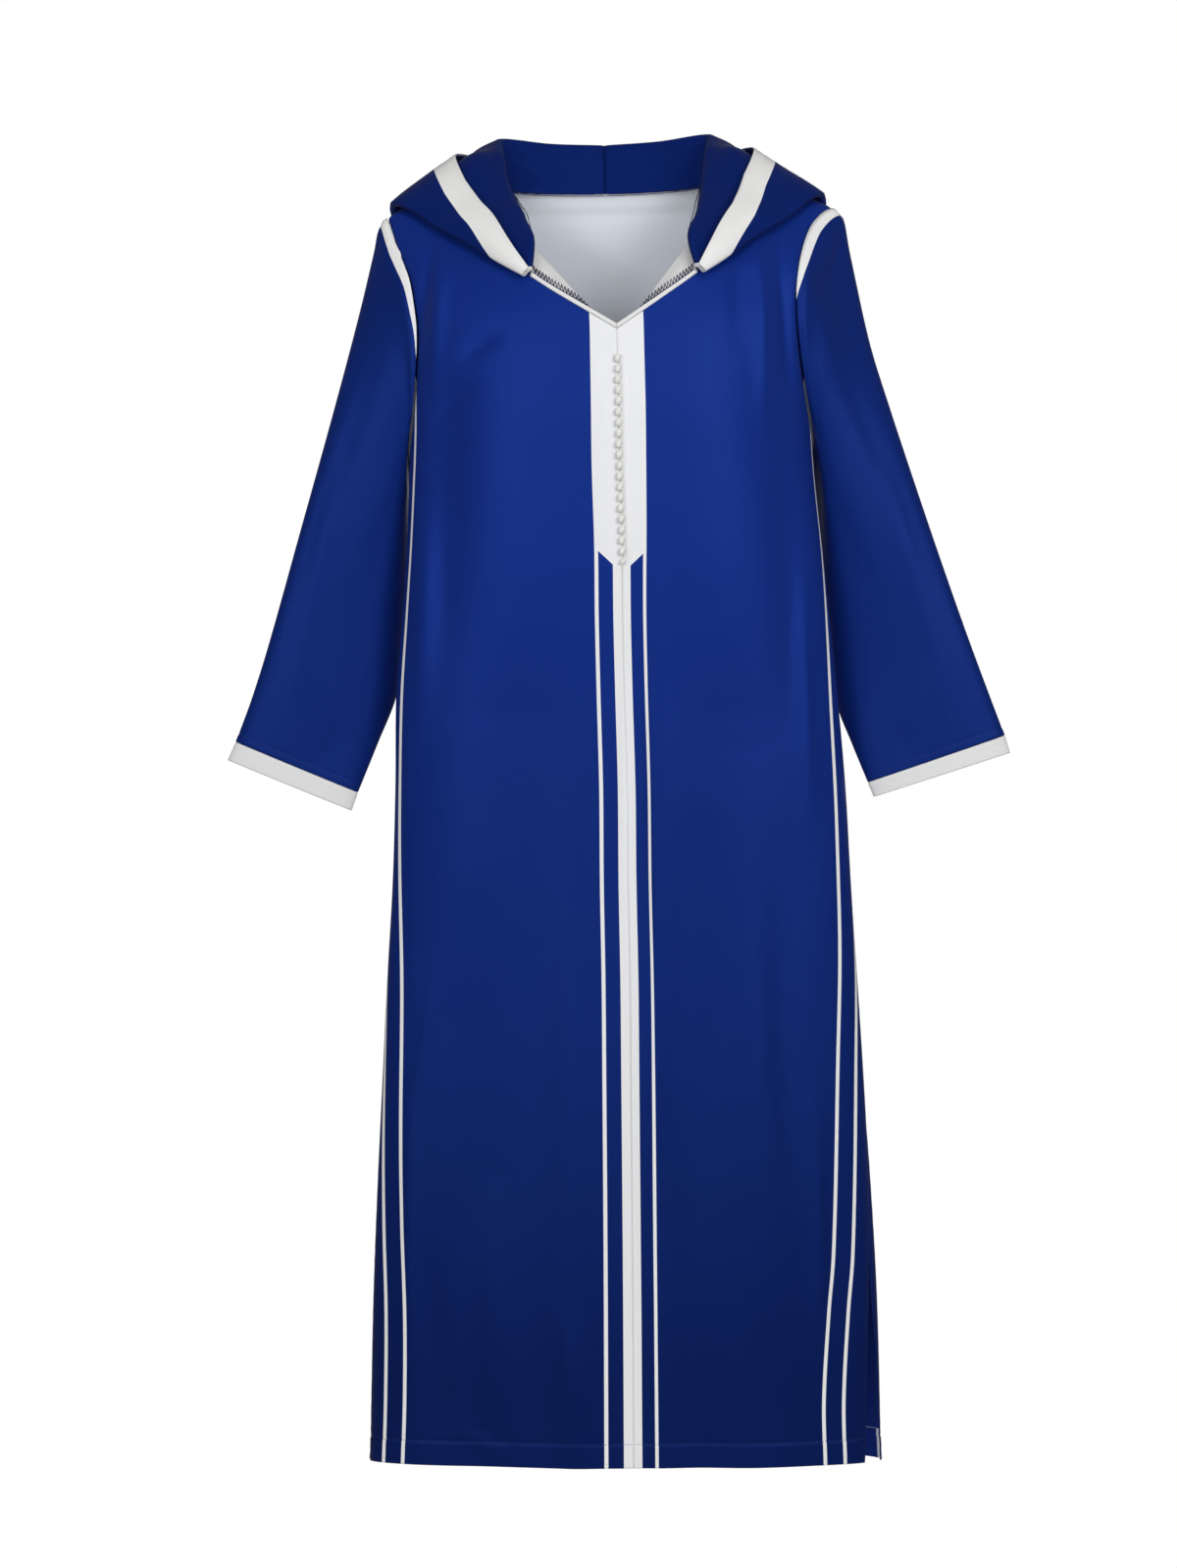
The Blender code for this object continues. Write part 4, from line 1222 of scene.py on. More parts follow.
class Panels:
    """The two fronts and the back."""

    BIB_HALF = {
        Side.LEFT: ((-117, 28.6), (-380, 29.7), (-1328, 31.8)),
        Side.RIGHT: ((-117, 28.6), (-250, 28.8), (-380, 25.4), (-700, 25.6), (-1328, 26.5)),
    }
    SWAY = {
        Side.LEFT: (
            (-350, 0), (-583, 1.0), (-900, 0.5), (-1073, 2.0), (-1167, 3.4), (-1262, 0.8),
            (-1328, -2.6),
        ),
        Side.RIGHT: (
            (-350, -4), (-504, 0.5), (-741, -4.5), (-900, -2.5), (-1103, -1.5), (-1166, 2.2),
            (-1260, 4.4), (-1328, 0.6),
        ),
    }
    FRONT_CREASES = (
        Crease(-168, -150, -110, -112, 11, -2.6, 4),
        Crease(-196, -215, -140, -165, 9, -2.2, 3),
        Crease(-206, -262, -150, -232, 8, -1.6, 3),
        Crease(-178, -8, -190, -190, 9, 2.2, -3),
        Crease(-192, 5, -206, -130, 7, -2.0, -2),
        Crease(150, 22, 160, -240, 8, 2.8, 3),
        Crease(172, 16, 188, -210, 7, -2.8, 2),
        Crease(192, -6, 204, -150, 6, 1.6, 2),
        Crease(126, 18, 132, -150, 9, -1.6, 2),
        Crease(-200, -280, -208, -560, 12, 2.8, 3),
        Crease(10, -335, 14, -860, 8, -3.4, 1),
        Crease(40, -335, 50, -1010, 17, 4.6, 3),
        Crease(-150, -400, -158, -860, 38, 3.4, -6),
        Crease(-74, -540, -66, -1180, 28, -3.2, -3),
        Crease(-126, -1010, -114, -1350, 24, 4.2, -5),
        Crease(-200, -1080, -186, -1345, 15, -2.6, 4),
        Crease(-50, -1150, -40, -1350, 13, 3.2, 3),
        Crease(-191, -770, -216, -950, 3.2, 1.0, 2),
        Crease(50, -880, 48, -1340, 13, -3.0, -3),
        Crease(92, -930, 100, -1350, 19, 3.8, 4),
        Crease(176, -620, 196, -1080, 20, -3.0, -5),
        Crease(150, -1120, 168, -1345, 15, -2.4, 3),
        Crease(202, -350, 212, -660, 9, 2.8, -2),
        Crease(212, -900, 222, -1240, 9, 2.2, 3),
        Crease(-214, -880, -216, -1260, 9, 2.0, -3),
        Crease(-168, -1285, -120, -1322, 5, 0.9, 2),
        Crease(-146, -1280, -100, -1318, 5, -0.9, 2),
    )
    BACK_CREASES = (
        Crease(-150, -40, -190, -260, 12, 2.4, -3),
        Crease(150, -30, 186, -240, 12, 2.4, 3),
        Crease(-60, 20, 55, -60, 16, -1.6, 6),
        Crease(-130, -90, -60, -240, 20, -2.2, 6),
        Crease(20, -60, 90, -300, 22, 2.0, -5),
        Crease(-185, -330, -150, -700, 14, -2.6, 4),
        Crease(178, -300, 196, -760, 14, 2.4, -4),
        Crease(-70, -640, -50, -1120, 18, 2.6, 5),
        Crease(96, -700, 82, -1240, 18, -2.8, -5),
        Crease(0, -900, 14, -1340, 14, 2.2, 3),
        Crease(-170, -960, -190, -1340, 15, 2.8, 4),
        Crease(170, -1040, 186, -1330, 14, -2.4, 3),
    )

    def __init__(self, garment: Garment, sizes: PanelSizes) -> None:
        """Keeps what the panels are built from."""
        self.garment, self.sizes = garment, sizes
        self.form, self.seams = garment.form, garment.seams

    def rows(self) -> Array:
        """Where the rows stand: 0 at the shoulder to 4 at the hem, closer above the hem."""
        s, robe = self.sizes, self.form.sizes
        dense = 4 - s.hem_dense / (robe.underarm_z - robe.hem_z)
        stops, counts = (0, 1, 2, 3, dense), (s.neck_rows, s.slit_rows, s.chest_rows, s.skirt_rows)
        spans = zip(stops[:-1], stops[1:], counts, strict=True)
        stops = [np.linspace(a, b, n, endpoint=False) for a, b, n in spans]
        return np.concatenate([*stops, np.linspace(dense, 4, s.hem_rows + 1)])

    def hem_height(self, z: Array) -> Array:
        """The turned-up hem: a dent under its stitches and a fuller edge below them."""
        up = z - self.form.sizes.hem_z - self.sizes.hem_turn
        s = self.sizes
        return s.hem_fullness * smoothstep(3.0, -3.0, up) - s.stitch_dent * bell(up, 1.6)

    def seam_height(self, distance: Array) -> Array:
        """The cloth dips into a seam, by an exponential of the distance from it."""
        return -self.sizes.seam_dip * np.exp(-distance / self.sizes.seam_reach)

    def front(self, side: Side) -> tuple[Cloth, Array]:
        """One front: straight lines in angle and height from its inner to its outer edge.

        Args:
            side: The side of the robe.

        Returns:
            The cloth and its outward directions.
        """
        s, rows = self.sizes, self.rows()
        in_angle, in_z = self.seams.inner_edge(side, rows)
        out_angle, out_z = self.seams.outer_edge(side, Half.FRONT, rows)
        share = towards_ends(self.sizes.columns, 0.62)
        angle = in_angle[:, None] * (1 - share) + out_angle[:, None] * share
        z = in_z[:, None] * (1 - share) + out_z[:, None] * share
        base, normal = self.form.point(angle, z), self.form.normal(angle, z)
        across = travelled(base, axis=1)
        from_outer, down = across[:, -1:] - across, travelled(base, axis=0)
        flat = self.form.flat_distance(angle, z, side)
        x = base[..., 0]
        lift = s.crease_depth * crease_field(self.FRONT_CREASES, x, z) + self.hem_height(z)
        lift += self.seam_height(from_outer) + pucker(from_outer, down[:, -1:], *s.side_gather)
        at_neck = smoothstep(1.06, 0.98, rows)[:, None]
        lift += self.seam_height(across) * at_neck
        lift += pucker(across, down[:, :1], *s.neck_gather) * at_neck
        below = smoothstep(1.97, 2.03, rows)[:, None]
        lift += below * self.centre_height(side, flat, z)
        keep = smoothstep(0.0, 6.0, np.minimum(across + 4.0, from_outer + 4.0))
        grid = base + normal * (self.form.sizes.cloth + lift * keep)[..., None]
        bib = flat * s.bib_half / read_off(self.BIB_HALF[side], z)
        seam = self.seams.reach(side, z) - flat - read_off(self.SWAY[side], z)
        chevron = z - s.chevron_z - s.chevron_slope * flat
        marks = {"bib": bib, "seam": seam, "edge": from_outer, "chevron": chevron}
        uv = np.stack([flat * side.sign, z], axis=-1)
        return Cloth(f"robe_front_{side.value}", grid, uv, marks), normal

    def centre_height(self, side: Side, flat: Array, z: Array) -> Array:
        """The pressed centre seam and the placket's two edges, with its right half sunk.

        Args:
            side: The side of the robe.
            flat: Length along the cloth from the centre front.
            z: Height.

        Returns:
            How far each point is lifted, in millimetres.
        """
        s = self.sizes
        lift = -s.middle_dip * bell(flat, 1.3) - s.placket_dip * bell(flat - s.placket_half, 1.2)
        if side is Side.RIGHT:
            sunk = smoothstep(-300, -380, z)
            lift = lift - s.sunk * sunk * smoothstep(0, 8, flat) * smoothstep(34, 12, flat)
        return lift

    def back(self) -> tuple[Cloth, Array]:
        """The back: a patch whose top bends with the shoulders and the neck.

        Returns:
            The cloth and its outward directions.
        """
        rows, robe = self.rows(), self.form.sizes
        left_angle, left_z = self.seams.outer_edge(Side.LEFT, Half.BACK, rows)
        right_angle, right_z = self.seams.outer_edge(Side.RIGHT, Half.BACK, rows)
        right_angle = right_angle - 2 * math.pi
        top_angle, top_z = self.back_top()
        across = np.linspace(0, 1, len(top_angle))
        fade = (1 - np.clip(rows / 3.0, 0, 1) ** 1.1)[:, None]
        straight_angle = left_angle[:, None] * (1 - across) + right_angle[:, None] * across
        straight_z = left_z[:, None] * (1 - across) + right_z[:, None] * across
        angle = straight_angle + (top_angle - straight_angle[0]) * fade
        z = straight_z + (top_z - straight_z[0]) * fade
        base, normal = self.form.point(angle, z), self.form.normal(angle, z)
        lengths, down = travelled(base, axis=1), travelled(base, axis=0)
        to_edge = np.minimum(lengths, lengths[:, -1:] - lengths)
        x = base[..., 0]
        s = self.sizes
        lift = s.crease_depth * crease_field(self.BACK_CREASES, x, z) + self.hem_height(z)
        lift += self.seam_height(to_edge) + pucker(to_edge, down[:, :1], *s.back_gather)
        lift += self.seam_height(down) + pucker(down, lengths[:1], *s.top_gather)
        keep = smoothstep(0.0, 6.0, to_edge + 4.0)
        grid = base + normal * (robe.cloth + lift * keep)[..., None]
        middle = lengths - lengths[:, -1:] / 2
        marks = {"seam": to_edge, "edge": to_edge}
        return Cloth("robe_back", grid, np.stack([middle, z], axis=-1), marks), normal

    def back_top(self) -> tuple[Array, Array]:
        """Angle and z along the back's top edge: shoulder, neck and shoulder."""
        robe, count = self.form.sizes, self.sizes.back_columns // 2
        shoulder_count = int(round(count * 7 / 11))
        shoulder = np.linspace(0, 1, shoulder_count + 1)
        rise = robe.shoulder_tip_z + (robe.neck_point_z - robe.shoulder_tip_z) * shoulder
        neck = np.linspace(0, 1, count - shoulder_count + 1)[1:]
        split = self.seams.neck_split
        neck_angle, neck_z = self.seams.neck_seam(Side.LEFT, split + (1 - split) * neck)
        half_angle = np.concatenate([np.full(len(shoulder), -math.pi / 2), neck_angle])
        half_z = np.concatenate([rise, neck_z])
        return (
            np.concatenate([half_angle, -2 * math.pi - half_angle[-2::-1]]),
            np.concatenate([half_z, half_z[-2::-1]]),
        )

    def hem_thread(self, cloths: Sequence[Cloth]) -> list[Shape]:
        """Stitches along the top of the turned-up hem on each panel."""
        made = []
        for cloth in cloths:
            z = cloth.uv[..., 1]
            level = self.form.sizes.hem_z + self.sizes.hem_turn
            row = int(np.argmin(np.abs(z[:, 0] - level)))
            made.append(stitches(cloth.grid[row, 1:-1] + grid_out(cloth, row) * 0.1, 3.4, 0.7, 0.3))
        return made

    def build(self) -> Pieces:
        """Builds the panels and their threads.

        Returns:
            The pieces by name.
        """
        finishes = self.garment.finishes
        made, cloths = {}, []
        back, out = self.back()
        made["back"] = self.garment.sewn(
            back, [finishes.back, finishes.panel_wrong], out, ["back"], "blue_cloth"
        )
        cloths.append(back)
        for side in Side:
            front, out = self.front(side)
            node = f"front_{side.value}"
            made[node] = self.garment.sewn(
                front, [finishes.front, finishes.panel_wrong], out, [node], "blue_cloth"
            )
            cloths.append(front)
        rows = self.hem_thread(cloths)
        made["hem_thread"] = self.garment.thread("hem_stitches", rows, finishes.navy, "blue_cloth")
        return made


def grid_out(cloth: Cloth, row: int) -> Array:
    """Outward directions along a row of a panel, level and away from the robe's middle line."""
    out = grid_normals(cloth.grid)[row, 1:-1]
    away = cloth.grid[row, 1:-1] - np.array([0, 0, cloth.grid[row, 1, 2]])
    return out * np.sign(np.sum(out * away))


class Edge(NamedTuple):
    """A point of a sleeve's upper or lower fold."""

    h: float
    y: float
    z: float


@dataclass(frozen=True)
class SleeveSizes:
    """How a sleeve is divided, and its depths, in millimetres."""

    rings: int = 130
    turns: int = 112
    cuff_rings: int = 12
    blend_power: float = 2.6
    depth_at: tuple[float, ...] = (0.0, 0.15, 0.3, 0.5, 0.75, 1.0, 1.2)
    depth: tuple[float, ...] = (44, 40, 33, 26, 20, 14, 13)
    cuff_end: float = 1.2
    stitch_rise: float = 9.0
    dense_from: float = 0.93
    dense_rings: int = 20
    gather: Gather = Gather(12.0, 0.3, 14.0)
    round_length: float = 620.0
    cap_fullness: float = 0.7
    cap_at: float = 16.0
    end_fullness: float = 0.35
    stitch_dent: float = 0.55
    back_cap: float = 13.0


class Sleeves:
    """The two sleeves and their cuffs."""

    UPPER = {
        Side.LEFT: (Edge(251, 9, 6), Edge(257, 8, -19), Edge(273, 8, -83), Edge(299, 8, -179),
                    Edge(335, 10, -309), Edge(371, 13, -439), Edge(391, 15, -503),
                    Edge(409, 16, -552)),
        Side.RIGHT: (Edge(247, 9, 6), Edge(255, 8, -31), Edge(277, 8, -127), Edge(297, 8, -190),
                     Edge(340, 10, -314), Edge(385, 13, -439), Edge(409, 15, -503),
                     Edge(425, 16, -545)),
    }
    LOWER = {
        Side.LEFT: (Edge(213, 42, -300), Edge(220, 46, -380), Edge(228, 45, -440),
                    Edge(235, 43, -499), Edge(256, 34, -554), Edge(277, 24, -607)),
        Side.RIGHT: (Edge(214, 42, -300), Edge(223, 46, -380), Edge(233, 45, -440),
                     Edge(244, 42, -510), Edge(261, 32, -556), Edge(277, 24, -596)),
    }
    CUFF = {
        Side.LEFT: (Edge(418, 16, -572), Edge(284, 24, -627)),
        Side.RIGHT: (Edge(431, 16, -564), Edge(283.5, 24, -612)),
    }
    CAP_WIDTH = {
        Side.LEFT: ((0, 13), (0.2, 13.5), (0.32, 11), (0.43, 8), (0.52, 3), (0.57, -1), (1, -1)),
        Side.RIGHT: ((0, 13), (0.2, 13.5), (0.29, 12), (0.35, 8), (0.40, 3), (0.44, -1), (1, -1)),
    }
    CREASES = (
        Crease(0.30, 60, 0.22, 330, 0.030, 2.2, 0.01),
        Crease(0.40, 40, 0.36, 300, 0.026, -2.4, -0.01),
        Crease(0.18, 90, 0.10, 380, 0.030, -1.6, 0.01),
        Crease(0.12, 200, 0.20, 520, 0.030, 1.5, 0.01),
        Crease(0.34, 330, 0.30, 560, 0.028, -1.8, 0.01),
        Crease(0.42, 420, 0.26, 540, 0.020, 1.2, 0.01),
        Crease(0.64, 70, 0.70, 360, 0.030, 2.0, 0.01),
        Crease(0.74, 120, 0.86, 470, 0.030, -1.9, 0.01),
        Crease(0.60, 300, 0.66, 560, 0.026, -1.5, 0.01),
        Crease(0.90, 220, 0.82, 540, 0.030, 1.4, 0.01),
    )

    def __init__(self, garment: Garment, sizes: SleeveSizes) -> None:
        """Keeps what the sleeves are built from."""
        self.garment, self.sizes = garment, sizes
        self.form, self.seams = garment.form, garment.seams

    def ring(self, side: Side, at: float, turn: Array) -> Array:
        """A ring of the flattened sleeve: an ellipse between its upper and its lower fold.

        Args:
            side: The side of the robe.
            at: 0 at the shoulder, 1 at the cuff's seam and 1.2 at the cuff's end.
            turn: 0 at the upper fold and half a turn at the lower.

        Returns:
            The ring's points.
        """
        tip = self.form.point(side.sign * math.pi / 2, self.form.sizes.shoulder_tip_z)
        under = self.form.point(*self.seams.armhole(side, Half.FRONT, np.array(1.0)))
        upper = [tip] + [(side.sign * e.h, e.y, e.z) for e in self.UPPER[side]]
        lower = [under] + [(side.sign * e.h, e.y, e.z) for e in self.LOWER[side]]
        outer, inner = along(upper, min(at, 1.0)), along(lower, min(at, 1.0))
        if at > 1:
            ends = [np.array((side.sign * e.h, e.y, e.z)) for e in self.CUFF[side]]
            share = (at - 1) / (self.sizes.cuff_end - 1)
            outer, inner = outer + (ends[0] - outer) * share, inner + (ends[1] - inner) * share
        depth = np.interp(at, self.sizes.depth_at, self.sizes.depth)
        ring = (outer + inner) / 2 + np.outer(np.cos(turn), (outer - inner) / 2)
        ring[:, 1] -= depth * np.sin(turn)
        return ring

    def armhole_ring(self, side: Side, turn: Array) -> Array:
        """The armhole's ring on the panels' edges, lifted off the body."""
        share = np.where(turn <= math.pi, turn / math.pi, 2 - turn / math.pi)
        front = self.seams.armhole(side, Half.FRONT, share)
        back = self.seams.armhole(side, Half.BACK, share)
        angle = np.where(turn <= math.pi, front[0], back[0])
        z = np.where(turn <= math.pi, front[1], back[1])
        return self.form.point(angle, z) + self.form.normal(angle, z) * self.form.sizes.armhole_lift

    def sleeve(self, side: Side) -> tuple[Cloth, Array]:
        """A sleeve: its first ring is the armhole, eased into the flattened tube below.

        Args:
            side: The side of the robe.

        Returns:
            The cloth and its outward directions.
        """
        s = self.sizes
        turn = np.linspace(0, 2 * math.pi, s.turns, endpoint=False)
        hole, start = self.armhole_ring(side, turn), self.ring(side, 0.0, turn)
        sparse = np.linspace(0, s.dense_from, s.rings - s.dense_rings, endpoint=False)
        places = np.concatenate([sparse, np.linspace(s.dense_from, 1, s.dense_rings + 1)])
        ease = (1 - places)[:, None, None] ** s.blend_power
        grid = np.array([self.ring(side, at, turn) for at in places]) + (hole - start) * ease
        grid[1:] = self.form.cleared(grid[1:], self.form.sizes.sleeve_clearance)
        normal = ring_normals(grid)
        down = travelled(grid, axis=0)
        left = down[-1:] - down
        share = np.broadcast_to(turn / (2 * math.pi), down.shape)
        lift = crease_field(self.CREASES, share, down)
        lift = lift * smoothstep(0, 40, down) * smoothstep(0, 30, left)
        lift += s.cap_fullness * bell(down - s.cap_at, 12)
        lift += pucker(down, share * s.round_length, *s.gather)
        lift += s.end_fullness * smoothstep(12, 6, left)
        lift -= s.stitch_dent * bell(left - s.stitch_rise, 1.3)
        free = smoothstep(0.0, 10.0, down)[..., None]
        inner = smoothstep(-0.75, 0.0, side.sign * normal[..., 0])
        grid = grid + normal * (lift * inner)[..., None] * free
        uv = np.stack([travelled(ringed(grid), axis=1), ringed(down)], axis=-1)
        fold = np.where(share <= 0.5, share * 2, 2 - share * 2)
        back_width = s.back_cap * smoothstep(0.75, 0.3, fold) - 0.5
        width = np.where(share <= 0.5, read_off(self.CAP_WIDTH[side], fold), back_width)
        return Cloth(f"robe_sleeve_{side.value}", grid, uv, {"cap": down - width}), normal

    def cuff(self, side: Side) -> tuple[Cloth, Array]:
        """A cuff band: a short tube below the sleeve, full in its middle."""
        s = self.sizes
        turn = np.linspace(0, 2 * math.pi, s.turns, endpoint=False)
        places = np.linspace(1.0, s.cuff_end, s.cuff_rings + 1)
        places[0] = 1.0 + 0.25 / 20.0 * (s.cuff_end - 1)
        grid = np.array([self.ring(side, at, turn) for at in places])
        normal = ring_normals(grid)
        down = travelled(grid, axis=0)
        left = down[-1:] - down
        lift = -0.5 * bell(down, 1.4) + 0.3 * bell(down - 3.5, 2.0) - 0.25 * bell(left, 1.0)
        grid = grid + normal * lift[..., None]
        uv = np.stack([travelled(ringed(grid), axis=1), ringed(down)], axis=-1)
        return Cloth(f"robe_cuff_{side.value}", grid, uv), normal

    def build(self) -> Pieces:
        """Builds the sleeves, the cuffs and the stitches above the cuffs.

        Returns:
            The pieces by name.
        """
        finishes, made, rows = self.garment.finishes, {}, []
        for side in Side:
            sleeve, out = self.sleeve(side)
            down = travelled(sleeve.grid, axis=0)[:, 0]
            row = int(np.argmin(np.abs(down[-1] - down - self.sizes.stitch_rise)))
            ring = sleeve.grid[row] + out[row] * 0.1
            rows.append(stitches(np.concatenate([ring, ring[:1]]), 3.2, 0.7, 0.28))
            node = f"sleeve_{side.value}"
            made[node] = self.garment.sewn(
                sleeve, [finishes.sleeve, finishes.sleeve_wrong], out, [node], "blue_cloth"
            )
            cuff, out = self.cuff(side)
            node = f"cuff_{side.value}"
            made[node] = self.garment.sewn(
                cuff, [finishes.white, finishes.wrong], out, [node], "white_cloth"
            )
        thread = self.garment.thread
        made["cuff_stitches"] = thread("cuff_stitches", rows, finishes.navy, "blue_cloth")
        return made


class HoodRow(NamedTuple):
    """One path over the folded hood, from its place along the neck seam to the rim."""

    at: float
    roll: tuple[float, float, float]
    under: tuple[float, float, float]
    fold: tuple[float, float, float]
    over: tuple[float, float, float]
    rim: tuple[float, float, float]


@dataclass(frozen=True)
class HoodSizes:
    """How the hood is divided and built, in millimetres."""

    stations: int = 90
    steps: tuple[int, ...] = (14, 8, 20, 24, 8, 22, 16)
    turn: float = 2.7
    start_out: float = 0.9
    outer_start: float = 2.0
    lining_start: float = -1.6
    layer_gap: float = 0.2
    rim_stitch: float = 3.2
    gather: Gather = Gather(9.0, 0.35, 9.0)
    seam_length: float = 330.0
    overlock_width: float = 3.4


class Hood:
    """The hood, lined and folded back into a pouch, as two halves of two layers each."""

    ROWS = (
        HoodRow(0.00, (89, -81, -52), (92, -82, -54), (95, -83, -56),
                (94, -88, -53), (90, -88, -49)),
        HoodRow(0.14, (84, -64, -16), (101, -67, -30), (118, -71, -41),
                (112, -78, -34), (104, -76, -25)),
        HoodRow(0.28, (95, -38, 12), (122, -44, -3), (151, -48, -17),
                (140, -56, -4), (122, -52, 8)),
        HoodRow(0.42, (106, -5, 46), (144, -16, 27), (186, -25, 6),
                (168, -32, 20), (141, -24, 38)),
        HoodRow(0.55, (112, 28, 86), (146, 24, 86), (231, 15, 37),
                (188, 15, 69), (162, 23, 87)),
        HoodRow(0.62, (115, 48, 101), (146, 56, 91), (231, 54, 6),
                (190, 70, 60), (154, 68, 97)),
        HoodRow(0.70, (113, 67, 111), (140, 84, 92), (211, 94, -50),
                (178, 114, 26), (134, 104, 96)),
        HoodRow(0.85, (60, 85, 107), (76, 112, 0), (112, 126, -180),
                (88, 146, -50), (66, 118, 74)),
        HoodRow(1.00, (0, 92, 105), (0, 119, -30), (0, 125, -270),
                (0, 152, -85), (0, 128, 66)),
    )
    CREASES = (
        Crease(0.46, 6, 0.62, 70, 0.020, 1.2, 0.01),
        Crease(0.56, 4, 0.66, 40, 0.016, -1.0, 0.01),
        Crease(0.70, 8, 0.80, 50, 0.022, 0.9, 0.01),
        Crease(0.30, 12, 0.42, 60, 0.020, -0.9, 0.01),
        Crease(0.705, 64, 0.80, 40, 0.011, 2.2, 0.005),
        Crease(0.70, 42, 0.84, 20, 0.011, 1.8, 0.005),
        Crease(0.72, 84, 0.87, 66, 0.013, -1.9, 0.005),
        Crease(0.72, 150, 0.90, 240, 0.030, 1.4, 0.01),
        Crease(0.80, 260, 0.98, 330, 0.030, -1.4, 0.01),
    )

    def __init__(self, garment: Garment, sizes: HoodSizes) -> None:
        """Keeps what the hood is built from."""
        self.garment, self.sizes = garment, sizes
        self.form, self.seams = garment.form, garment.seams

    def turn_ends(self, before: Array, point: Array, after: Array) -> tuple[Array, Array]:
        """The two ends of a rounded turn at a point, set apart square to the way it points."""
        tip = unit(unit(point - before) + unit(point - after))
        way = after - before
        way = unit(way - tip * np.sum(way * tip, axis=1, keepdims=True))
        return point - way * self.sizes.turn, point + way * self.sizes.turn

    def middle(self, side: Side, start_up: float) -> Array:
        """The surface between the two layers: paths from the neck seam over the roll, down to
        the pouch's fold and back to the rim, each a smooth curve through the table's points.

        Args:
            side: The side of the robe.
            start_up: How far up from the neck seam the paths start.

        Returns:
            A grid of points, one row to a path.
        """
        share = towards_ends(self.sizes.stations, 0.35)
        angle, z = self.seams.neck_seam(side, share)
        seam = self.form.point(angle, z)
        at, names = [row.at for row in self.ROWS], ("roll", "under", "fold", "over", "rim")
        marks = [hermite(at, [getattr(row, name) for row in self.ROWS], share) for name in names]
        for mark in marks:
            level = np.clip(mark[:, 2], self.form.sizes.hem_z, self.form.sizes.neck_point_z)
            mark[:, 0] = self.form.column("middle", level) + side.sign * mark[:, 0]
        roll, under, fold, over, rim = marks
        start = seam + self.form.normal(angle, z) * self.sizes.start_out
        start = start + unit(roll - seam) * start_up
        first, second = self.turn_ends(start, roll, under), self.turn_ends(under, fold, over)
        corners = np.stack([start, *first, under, *second, over, rim], axis=1)
        points = np.array([through(row, self.sizes.steps) for row in corners])
        gap = np.full(points.shape[1], self.form.sizes.hood_clearance)
        gap[: self.sizes.steps[0]] = 0
        return self.form.cleared(points, gap)

    def half(self, side: Side, start_up: float) -> tuple[Array, Array, Array, Array]:
        """The middle surface, creased, with its normals and lengths.

        Args:
            side: The side of the robe.
            start_up: How far up from the neck seam it starts.

        Returns:
            The grid, its normals towards the outer layer, the length from the neck seam and
            the length from the rim.
        """
        grid = self.middle(side, start_up)
        share = towards_ends(self.sizes.stations, 0.35)[:, None]
        normal = grid_normals(grid) * side.sign
        run = travelled(grid, axis=1)
        from_rim = run[:, -1:] - run
        lift = crease_field(self.CREASES, np.broadcast_to(share, run.shape), run)
        lift += pucker(run, share * self.sizes.seam_length, *self.sizes.gather)
        lift = lift * smoothstep(0, 0.06, share) * smoothstep(0, 6, from_rim)
        grid = grid + normal * lift[..., None]
        return grid, grid_normals(grid) * side.sign, run, from_rim

    def build(self) -> Pieces:
        """Builds the four layers, the rim's stitches and the neck seam's overlocking.

        Returns:
            The pieces by name.
        """
        finishes, made, rim_rows, overlock = self.garment.finishes, {}, [], []
        reach = self.sizes.layer_gap + self.form.sizes.cloth
        for side in Side:
            layers = (
                ("outer", 1.0, finishes.hood, self.sizes.outer_start),
                ("lining", -1.0, finishes.lining, self.sizes.lining_start),
            )
            for layer, way, finish, start_up in layers:
                middle, normal, run, from_rim = self.half(side, start_up)
                down = travelled(middle, axis=0)
                dip = 0.5 * bell(from_rim - self.sizes.rim_stitch, 1.0) if layer == "outer" else 0.0
                edge = 0.55 * np.exp(-from_rim / 0.8) + 0.6 * np.exp(-(down[-1:] - down) / 1.6)
                grid = middle + normal * (way * (reach - dip - edge))[..., None]
                uv = np.stack([down, run], axis=-1)
                cloth = Cloth(f"robe_hood_{layer}_{side.value}", grid, uv, {"rim": from_rim})
                if layer == "outer":
                    place = np.argmin(np.abs(from_rim - self.sizes.rim_stitch), axis=1)
                    at = np.arange(len(grid)), place
                    line = grid[at] + normal[at] * 0.1
                    rim_rows.append(stitches(line[1:], 3.0, 0.72, 0.25))
                else:
                    low, up = grid[:, 0], unit(grid[:, 4] - grid[:, 0])
                    path = low - up * 2.8 - normal[:, 0] * 2.2
                    overlock.append(zigzag(path, up, 1.6, self.sizes.overlock_width, 0.38))
                node = f"hood_{layer}_{side.value}"
                made[node] = self.garment.sewn(
                    cloth, [finish, finishes.lining], normal * way, [node], "blue_cloth"
                )
        thread = self.garment.thread
        made["rim_stitches"] = thread("rim_stitches", rim_rows, finishes.pale, "white_cloth")
        made["neck_overlock"] = thread("neck_overlock", overlock, finishes.navy, "blue_cloth")
        return made


@dataclass(frozen=True)
class SlitSizes:
    """The neck slit's binding and facing, in millimetres."""

    gap: float = 0.5
    width: float = 4.5
    thick: float = 2.0
    rows: int = 60
    round_it: int = 16
    facing_from: float = 0.02
    facing_to: float = 0.84
    facing_columns: int = 24
    facing_top: float = 0.62
    facing_wave: float = 0.8
    overlock_from: float = 5.2
    overlock_width: float = 4.8
    overlock_lift: float = 0.5


